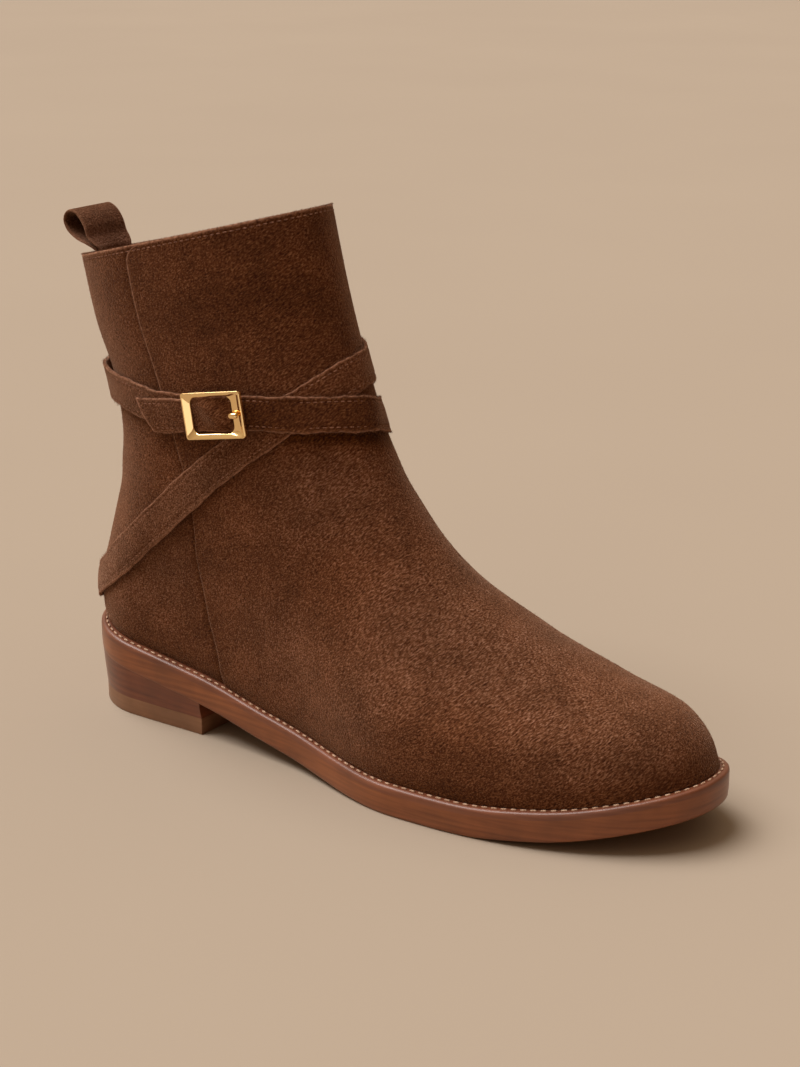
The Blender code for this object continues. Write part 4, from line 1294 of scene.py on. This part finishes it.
def on_strap(path, share, across, out, slant):
    """Place on a strap: along its path of turns and heights, sideways over the upper, out from its back.

    The step sideways becomes a change of turn and of level, solved from the two slopes of the upper.
    """
    start = path["turn"][0]
    end = path["turn"][-1]
    degrees = start + (end + slant * across / HALF_STRAP - start) * share

    def middle(at):
        """Turn and level of the strap's middle line."""
        turn = np.radians(at)
        return turn, level_at(turn, column(path, "turn", "height", at))

    turn, level = middle(degrees)
    ahead = on_upper(*middle(degrees + 0.5), 0.0)
    behind = on_upper(*middle(degrees - 0.5), 0.0)
    per_turn, per_level = upper_slopes(turn, level)
    sideways = unit(np.cross(np.cross(per_turn, per_level), ahead - behind))
    along_turn = (per_turn * sideways).sum(-1)
    along_level = (per_level * sideways).sum(-1)
    tt = (per_turn**2).sum(-1)
    tl = (per_turn * per_level).sum(-1)
    ll = (per_level**2).sum(-1)
    det = tt * ll - tl * tl
    turn = turn + across * (along_turn * ll - along_level * tl) / det
    level = level + across * (along_level * tt - along_turn * tl) / det
    lift = column(path, "turn", "lift", degrees)
    return on_upper(turn, level, lift + out), upper_normal(turn, level)


def strap_section():
    """Round-edged section of a strap, as places across and out: top, right edge, back, left edge."""
    flat = HALF_STRAP - 0.5
    top = np.linspace(-flat, flat, 31)
    corner = np.radians(np.linspace(90, 0, 5))[1:]
    right = np.stack([flat + 0.5 * np.cos(corner), STRAP_THICK - 0.8 + 0.6 * np.sin(corner)], -1)
    crown = STRAP_THICK - CROWN_FALL * (top / HALF_STRAP) ** 4
    ridge = crown - GROOVE_DEPTH * swell(np.abs(top), HALF_STRAP - STITCH_FROM_EDGE, 0.45)
    foot = np.array([(HALF_STRAP - 0.15, 0.1), (HALF_STRAP - 1.2, 0.0)])
    mirror = (-1, 1)
    foot = np.concatenate([foot, [(0, 0)], foot[::-1] * mirror])
    return np.concatenate([np.stack([top, ridge], -1), right, foot, right[::-1] * mirror])


def edge_wander(share, phase):
    """Slight waviness of a cut edge: three sines of different length."""
    slow = 0.2 * np.sin(share * 41 + phase) + 0.14 * np.sin(share * 97 + 2 * phase)
    return slow + 0.1 * np.sin(share * 233)


def strap(name, path, samples, slant, nap, raise_at=None):
    """Strap with its section carried along its path, closed at both ends; its nap's brushing is set by turn,
    plus the upper's patches of nap and painted light.
    """
    section = strap_section()
    share = np.linspace(0, 1, samples)[:, None]
    across = section[None, :, 0] + 0.0 * share
    wander = np.where(across > 0, edge_wander(share, 0.7), edge_wander(share, 2.9))
    across = across + wander * (np.abs(across) / HALF_STRAP) ** 3
    out = section[None, :, 1] + 0.0 * share
    start = path["turn"][0]
    end = path["turn"][-1]
    degrees = start + (end - start) * share
    puff = 0.0 if raise_at is None else PUFF * swell(degrees, raise_at, PUFF_SPREAD)
    puff = puff * (1 - 0.8 * (across / HALF_STRAP) ** 4) * (out > 0.4)
    curl = 0.25 * np.sin(share * 29 + 1.3) * (across / HALF_STRAP) ** 2 * (out > 0.4)
    points, _ = on_strap(path, share, across, out + puff + np.maximum(curl, -0.05), slant)
    count = len(section)
    faces = ring_faces(count, samples)
    pairs = np.arange(count // 2 - 1)
    near_cap = np.stack([pairs, pairs + 1, count - 2 - pairs, count - 1 - pairs], -1)
    far_cap = near_cap[:, ::-1] + (samples - 1) * count
    to_edge = HALF_STRAP - np.abs(section[:, 0])
    raw_row = np.maximum(swell(to_edge, 0, 0.5), (section[:, 1] < STRAP_THICK - 0.5) * 0.4)
    length = np.linalg.norm(np.diff(points[:, 0], axis=0), axis=1).sum()
    to_end = np.minimum(share, 1 - share) * length
    raw = np.maximum(raw_row[None, :] + 0 * share, swell(to_end, 0, 0.6)) * 0.75
    tone = nap_and_painted_light(points) * 0.6 + 0.12 * np.sin(share * 23 + 0.4) + np.interp(degrees, *nap)
    faces = np.concatenate([faces, near_cap, far_cap])
    made = piece(name, points.reshape(-1, 3), faces, strap_suede, {"raw": raw, "tone": tone}, sharp=75)
    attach(made, "boot")
    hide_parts(name)
    chance = np.random.default_rng(samples)
    fur_count = samples * FUR_PER_SAMPLE
    fur_share = chance.uniform(0, 1, fur_count)
    fur_side = np.where(chance.uniform(0, 1, fur_count) < 0.5, -1.0, 1.0)
    fur_wander = np.where(fur_side > 0, edge_wander(fur_share, 0.7), edge_wander(fur_share, 2.9))
    fur_across = fur_side * (HALF_STRAP - 0.12) + fur_wander
    fur_height = chance.uniform(0.25, STRAP_THICK - 0.25, fur_count)
    fur_roots, fur_normal = on_strap(path, fur_share, fur_across, fur_height, slant)
    fur_inside, _ = on_strap(path, fur_share, fur_across - fur_side, fur_height, slant)
    fur_out = unit(fur_roots - fur_inside) + 0.5 * fur_normal
    fur = fibres(f"{name}_fur", fur_roots, fur_out, FUR_LENGTH, strap_suede, samples + 1)
    run = np.linspace(0.01, 0.985, 700)
    to_row = HALF_STRAP - STITCH_FROM_EDGE
    over = np.linspace(-to_row, to_row, 40)
    lines = (
        ("upper", run, np.full_like(run, to_row), STITCH_SINK),
        ("lower", run, np.full_like(run, -to_row), STITCH_SINK),
        ("end", np.full_like(over, STITCH_FROM_END / length), over, 0.08),
    )
    for label, share, across, sink in lines:
        line, normal = on_strap(path, share, across, STRAP_THICK - sink, slant)
        fine_row(f"{name}_stitches_{label}", line, normal)


DIAGONAL_NAP = ((-24, 100, 150), (0.32, 0.32, 0.03))
FRONT_NAP = ((68, 98, 116, 190, 230, 262), (0.28, 0.15, -0.55, -0.55, -0.3, 0.0))
BACK_NAP = ((200, 460), (0.15, 0.15))
strap("strap_diagonal", DIAGONAL_PATH, 420, 0.0, DIAGONAL_NAP)
strap("strap_front", FRONT_PATH, 420, -TIP_SLANT, FRONT_NAP, raise_at=BUCKLE_TURN)
strap("strap_back", BACK_PATH, 320, 0.0, BACK_NAP)

# Buckle
# A square frame of polished brass with bars that slope inwards, and a short prong over its front bar.
# The front strap goes under both end bars and puffs up a little inside the frame.
BUCKLE_HEIGHT = 131.4
BUCKLE_LENGTH = 25.4
BUCKLE_DEPTH = 17.6
BUCKLE_END_BAR = 3.9
BUCKLE_SIDE_BAR = 2.0
BUCKLE_THICK = 1.8
BUCKLE_LIFT = 4.3
BUCKLE_SIGHT = 8.0
BUCKLE_CROWN = 0.15
RIM_CORNER = 1.1
WINDOW_CORNER = 2.6
CORNER_STEPS = 10
PRONG_RADIUS = 0.9

buckle_turn = np.radians(BUCKLE_TURN)
buckle_level = level_at(buckle_turn, np.array(BUCKLE_HEIGHT))
buckle_out = upper_normal(buckle_turn, buckle_level)
sight_turn = np.radians(BUCKLE_TURN + BUCKLE_SIGHT)
sight_height = column(FRONT_PATH, "turn", "height", BUCKLE_TURN + BUCKLE_SIGHT)
sight = upper_base(sight_turn, level_at(sight_turn, sight_height)) - upper_base(buckle_turn, buckle_level)
buckle_up = unit(np.cross(buckle_out, sight))
buckle_along = np.cross(buckle_up, buckle_out)
buckle_middle = on_upper(buckle_turn, buckle_level, np.array(BUCKLE_LIFT + BUCKLE_THICK / 2))
brass = cast_metal("polished_brass", (0.96, 0.69, 0.34), 0.07, 0.15, 300.0)
WINDOW_BACK = 0.8
FRAME_SLOPE = 0.42
FRONT_SLOPE = 0.66
FRAME_SECTION = table(
    "across lip",
    [
        (0.00, 0.50),
        (0.03, 0.27),
        (0.07, 0.12),
        (0.13, 0.03),
        (0.20, 0.00),
        (0.30, 0.00),
        (0.55, 0.00),
        (0.80, 0.02),
        (0.92, 0.08),
        (0.98, 0.20),
        (1.00, 0.35),
    ],
)
# The section goes across each bar from the rim to the window, lower towards the window by the bar's slope.
rim = rounded(BUCKLE_LENGTH, BUCKLE_DEPTH, RIM_CORNER, steps=CORNER_STEPS)
window_size = (BUCKLE_LENGTH - 2 * BUCKLE_END_BAR, BUCKLE_DEPTH - 2 * BUCKLE_SIDE_BAR)
window = rounded(*window_size, WINDOW_CORNER, (-WINDOW_BACK, 0), steps=CORNER_STEPS)
end_bar = BUCKLE_END_BAR + WINDOW_BACK * np.sign(rim[:, 0])
face_across = FRAME_SECTION["across"][:, None]
bar_angle = np.tile(np.linspace(0, 90, CORNER_STEPS), 4) + np.repeat((0, 90, 180, 270), CORNER_STEPS)
end_share = np.cos(np.radians(bar_angle)) ** 2
bar_width = end_bar * end_share + BUCKLE_SIDE_BAR * (1 - end_share)
bar_slope = np.where(rim[:, 0] > 0, FRONT_SLOPE, FRAME_SLOPE)
bar_top = BUCKLE_THICK / 2 + BUCKLE_CROWN
face_out = bar_top - FRAME_SECTION["lip"][:, None] - bar_slope * face_across * bar_width
face_out = np.maximum(face_out, 0.3 - BUCKLE_THICK / 2)
flat_back = np.full_like(face_out[:1], -BUCKLE_THICK / 2)
outline = rim + (window - rim) * np.concatenate([[[0.0]], face_across, [[1.0]]])[..., None]
frame_out = np.concatenate([flat_back, face_out, flat_back])[..., None]
frame_points = buckle_middle + outline[..., :1] * buckle_along
frame_points = frame_points + outline[..., 1:] * buckle_up + frame_out * buckle_out
frame_faces = ring_faces(len(rim), len(outline), closed=True)
buckle_frame = piece("buckle_frame", frame_points.reshape(-1, 3), frame_faces, brass, sharp=60)
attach(buckle_frame, "boot")
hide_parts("buckle_frame")

bar_in = BUCKLE_LENGTH / 2 - BUCKLE_END_BAR
over_bar = bar_top + PRONG_RADIUS
PRONG = table(
    "past_bar up out radius",
    [
        (-1.8, 0.0, -1.2, 1.0),
        (-1.1, 0.0, 0.2, 1.15),
        (-0.5, 0.0, 1.2, 1.2),
        (0.2, 0.0, over_bar - 0.1, 1.2),
        (1.1, 0.0, over_bar, 1.2),
        (2.0, 0.0, over_bar, 1.15),
        (2.5, 0.0, over_bar, 0.95),
        (2.8, 0.0, over_bar, 0.55),
    ],
)


def rod(name, path, radius, material, sides=16):
    """Round rod of changing radius: circles across a path, drawn in to a point at both ends."""
    along = unit(np.gradient(path, axis=0))
    side = unit(np.cross(along, (0.0, 0.0, 1.0)))
    other = np.cross(along, side)
    angle = np.linspace(0, 2 * np.pi, sides, endpoint=False)[None, :, None]
    circles = np.cos(angle) * side[:, None] + np.sin(angle) * other[:, None]
    circles = path[:, None] + radius[:, None, None] * circles
    rings = [np.repeat(path[:1], sides, 0), *circles, np.repeat(path[-1:], sides, 0)]
    return ring_stack(name, rings, material, sharp=60)


fine = np.linspace(0, 1, 40)
knots = np.linspace(0, 1, len(PRONG["out"]))
route = [smooth(fine, knots, PRONG[name]) for name in ("past_bar", "up", "out", "radius")]
prong_path = buckle_middle + (bar_in + route[0])[:, None] * buckle_along
prong_path = prong_path + route[1][:, None] * buckle_up + route[2][:, None] * buckle_out
buckle_prong = rod("buckle_prong", prong_path, route[3], brass)
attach(buckle_prong, "boot")
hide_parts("buckle_prong")

# Pull loop
# A band of dark, fine-napped leather folded into a loop, both ends sewn inside the back of the collar.
# It leans out over the rim, and its cut edges are a little paler.
LOOP_TURN = 356.8
LOOP_WIDTH = 20.0
LOOP_THICK = 1.2
LOOP_TAIL = 8.0
LOOP_THROAT = 7.0
LOOP_COLUMNS = 41
LOOP_ROWS = 120
LOOP_PROFILE = table(
    "out up",
    [
        (-2.75, -LOOP_TAIL),
        (-2.75, 0.2),
        (-1.9, 1.7),
        (1.0, 3.5),
        (6.0, 5.4),
        (10.3, 7.8),
        (12.3, 11.2),
        (11.1, 14.3),
        (7.6, 15.6),
        (3.6, 14.0),
        (0.4, 10.3),
        (-1.3, 6.2),
        (-3.3, 3.4),
        (-4.4, 0.8),
        (-4.4, -LOOP_TAIL),
    ],
)


def smooth_through(x, xs, ys):
    """Rounded curve through rows that may turn back, from cubic pieces with central slopes."""
    tangent = np.gradient(ys, xs)
    row = np.clip(np.searchsorted(xs, x) - 1, 0, len(xs) - 2)
    step = xs[row + 1] - xs[row]
    t = (x - xs[row]) / step
    start = (1 + 2 * t) * (1 - t) ** 2 * ys[row] + t * (1 - t) ** 2 * step * tangent[row]
    end = t * t * (3 - 2 * t) * ys[row + 1] + t * t * (t - 1) * step * tangent[row + 1]
    return start + end


loop_middle = np.radians(LOOP_TURN)
loop_share = np.linspace(-0.5, 0.5, LOOP_COLUMNS)
loop_side = loop_share * LOOP_WIDTH
loop_speed = np.linalg.norm(upper_slopes(loop_middle, np.array(1.0))[0])
loop_turn = loop_middle + loop_side / loop_speed
loop_rim = upper_base(loop_turn, np.ones_like(loop_turn))
loop_out = unit(upper_normal(loop_turn, np.ones_like(loop_turn)) * (1, 1, 0))
centre_rim = loop_rim[LOOP_COLUMNS // 2]
centre_out = loop_out[LOOP_COLUMNS // 2]
tangent = np.array([-centre_out[1], centre_out[0], 0])
tangent = tangent * np.sign(tangent @ (loop_rim[-1] - loop_rim[0]))
straight_rim = centre_rim + loop_side[:, None] * (tangent + (0, 0, COLLAR_RISE * tangent[0]))
loop_fine = np.linspace(0, 1, LOOP_ROWS)
loop_rows = np.linspace(0, 1, len(LOOP_PROFILE["out"]))
loop_o = smooth_through(loop_fine, loop_rows, LOOP_PROFILE["out"])
loop_u = smooth_through(loop_fine, loop_rows, LOOP_PROFILE["up"])
loop_slope = unit(np.stack([np.gradient(loop_o), np.gradient(loop_u)], -1))
edge_round = round_end((0.5 - np.abs(loop_share)) * LOOP_WIDTH / 0.7 + 0.12, 2)
# Below the rim the band lies along the collar's wall, and above its throat it is straight across.
layers = []
for half in (-LOOP_THICK / 2, LOOP_THICK / 2):
    reach = loop_o[:, None] - half * edge_round[None] * loop_slope[:, 1:2]
    rise = loop_u[:, None] + half * edge_round[None] * loop_slope[:, :1]
    inside = loop_rim[None, :, 2] + np.minimum(rise, 0)
    wall = upper_base(loop_turn[None] + 0 * rise, level_at(loop_turn[None] + 0 * rise, inside))
    free = np.clip(rise / LOOP_THROAT, 0, 1)
    free = (free * free * (3 - 2 * free))[..., None]
    foot = wall * (1 - free) + straight_rim[None] * free
    outward = unit(loop_out[None] * (1 - free) + centre_out * free)
    point = foot + reach[..., None] * outward
    point[..., 2] += np.maximum(rise, 0)
    layers.append(point)
loop_raw = np.broadcast_to(0.55 * swell(0.5 - np.abs(loop_share), 0, 0.03), layers[0].shape[:2])
loop_tone = 0.2 * np.sin(loop_fine * 9)[:, None] + 0 * loop_raw
loop_marks = {"raw": both_faces(loop_raw), "tone": both_faces(loop_tone)}
loop_leather = suede(
    "loop_leather", (0.075, 0.028, 0.012), (0.115, 0.043, 0.02), (0.17, 0.072, 0.037), (0.26, 0.13, 0.078)
)
pull_loop = sheet("pull_loop", layers[0], layers[1], loop_leather, loop_marks, sharp=60)
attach(pull_loop, "boot")
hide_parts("pull_loop")

# Floor, light and camera
# A plain pale sheet under the boot, a broad soft light from the heel side, a card for the brass, a dim room.
# The camera stands where the photo's stood and frames the boot.
FLOOR_HALF = 20.0
CAMERA_PLACE = Vector((0.46538, -0.60312, 0.33733))
CAMERA_AIM = Vector((0.0146, -0.0007, 0.0889))
CAMERA_LENS = 73.15

floor_mesh = bpy.data.meshes.new("floor")
floor_corners = [(-FLOOR_HALF, -FLOOR_HALF, 0), (FLOOR_HALF, -FLOOR_HALF, 0)]
floor_corners = floor_corners + [(FLOOR_HALF, FLOOR_HALF, 0), (-FLOOR_HALF, FLOOR_HALF, 0)]
floor_mesh.from_pydata(floor_corners, [], [(0, 1, 2, 3)])
floor = linked("floor", floor_mesh)
paper, paper_tree, paper_shader = shader_of("paper", 0.9, 0.2)
paper_tone = grain(paper_tree, 3.0, 2.0)
tinted(paper_tree, paper_shader, paper_tone, (0.3, (0.357, 0.287, 0.222)), (0.7, (0.366, 0.295, 0.228)))
floor_mesh.materials.append(paper)


def aimed(name, data, place, way):
    """Light or camera at a place, looking a given way."""
    made = linked(name, data)
    made.location = place
    made.rotation_euler = Vector(way).to_track_quat("-Z", "Y").to_euler()
    return made


sun = bpy.data.lights.new("key", "SUN")
sun.energy = 3.55
sun.angle = np.radians(44)
aimed("key", sun, (0, 0, 0), (0.39, 0.17, -0.9))

reflector = bpy.data.lights.new("card", "AREA")
reflector.shape = "RECTANGLE"
reflector.size = 0.45
reflector.size_y = 0.15
reflector.energy = 0.145
card = aimed("card", reflector, (0.22, -0.43, 0.08), (-0.49, 0.585, 0.0))
card.visible_camera = False
card.visible_diffuse = False

world = bpy.data.worlds.new("room")
world.use_nodes = True
bpy.context.scene.world = world
room_tree = world.node_tree
direction = room_tree.nodes.new("ShaderNodeTexCoord")
lean = room_tree.nodes.new("ShaderNodeVectorMath")
lean.operation = "DOT_PRODUCT"
lean.inputs[1].default_value = (-0.5, -0.1, 0.86)
span = room_tree.nodes.new("ShaderNodeMapRange")
span.inputs["From Min"].default_value = -0.3
span.inputs["From Max"].default_value = 1.0
room_tree.links.new(direction.outputs["Generated"], lean.inputs[0])
room_tree.links.new(lean.outputs["Value"], span.inputs["Value"])
room_colour = [(0.0, (0.15, 0.066, 0.018)), (1.0, (0.68, 0.54, 0.39))]
room_colour = ramp(room_tree, span.outputs["Result"], room_colour)
room_tree.links.new(room_colour, room_tree.nodes["Background"].inputs["Color"])

lens = bpy.data.cameras.new("camera")
lens.sensor_fit = "VERTICAL"
lens.sensor_height = 36
lens.lens = CAMERA_LENS
lens.clip_end = 100
bpy.context.scene.camera = aimed("camera", lens, CAMERA_PLACE, CAMERA_AIM - CAMERA_PLACE)
bpy.context.scene.view_settings.view_transform = "Standard"
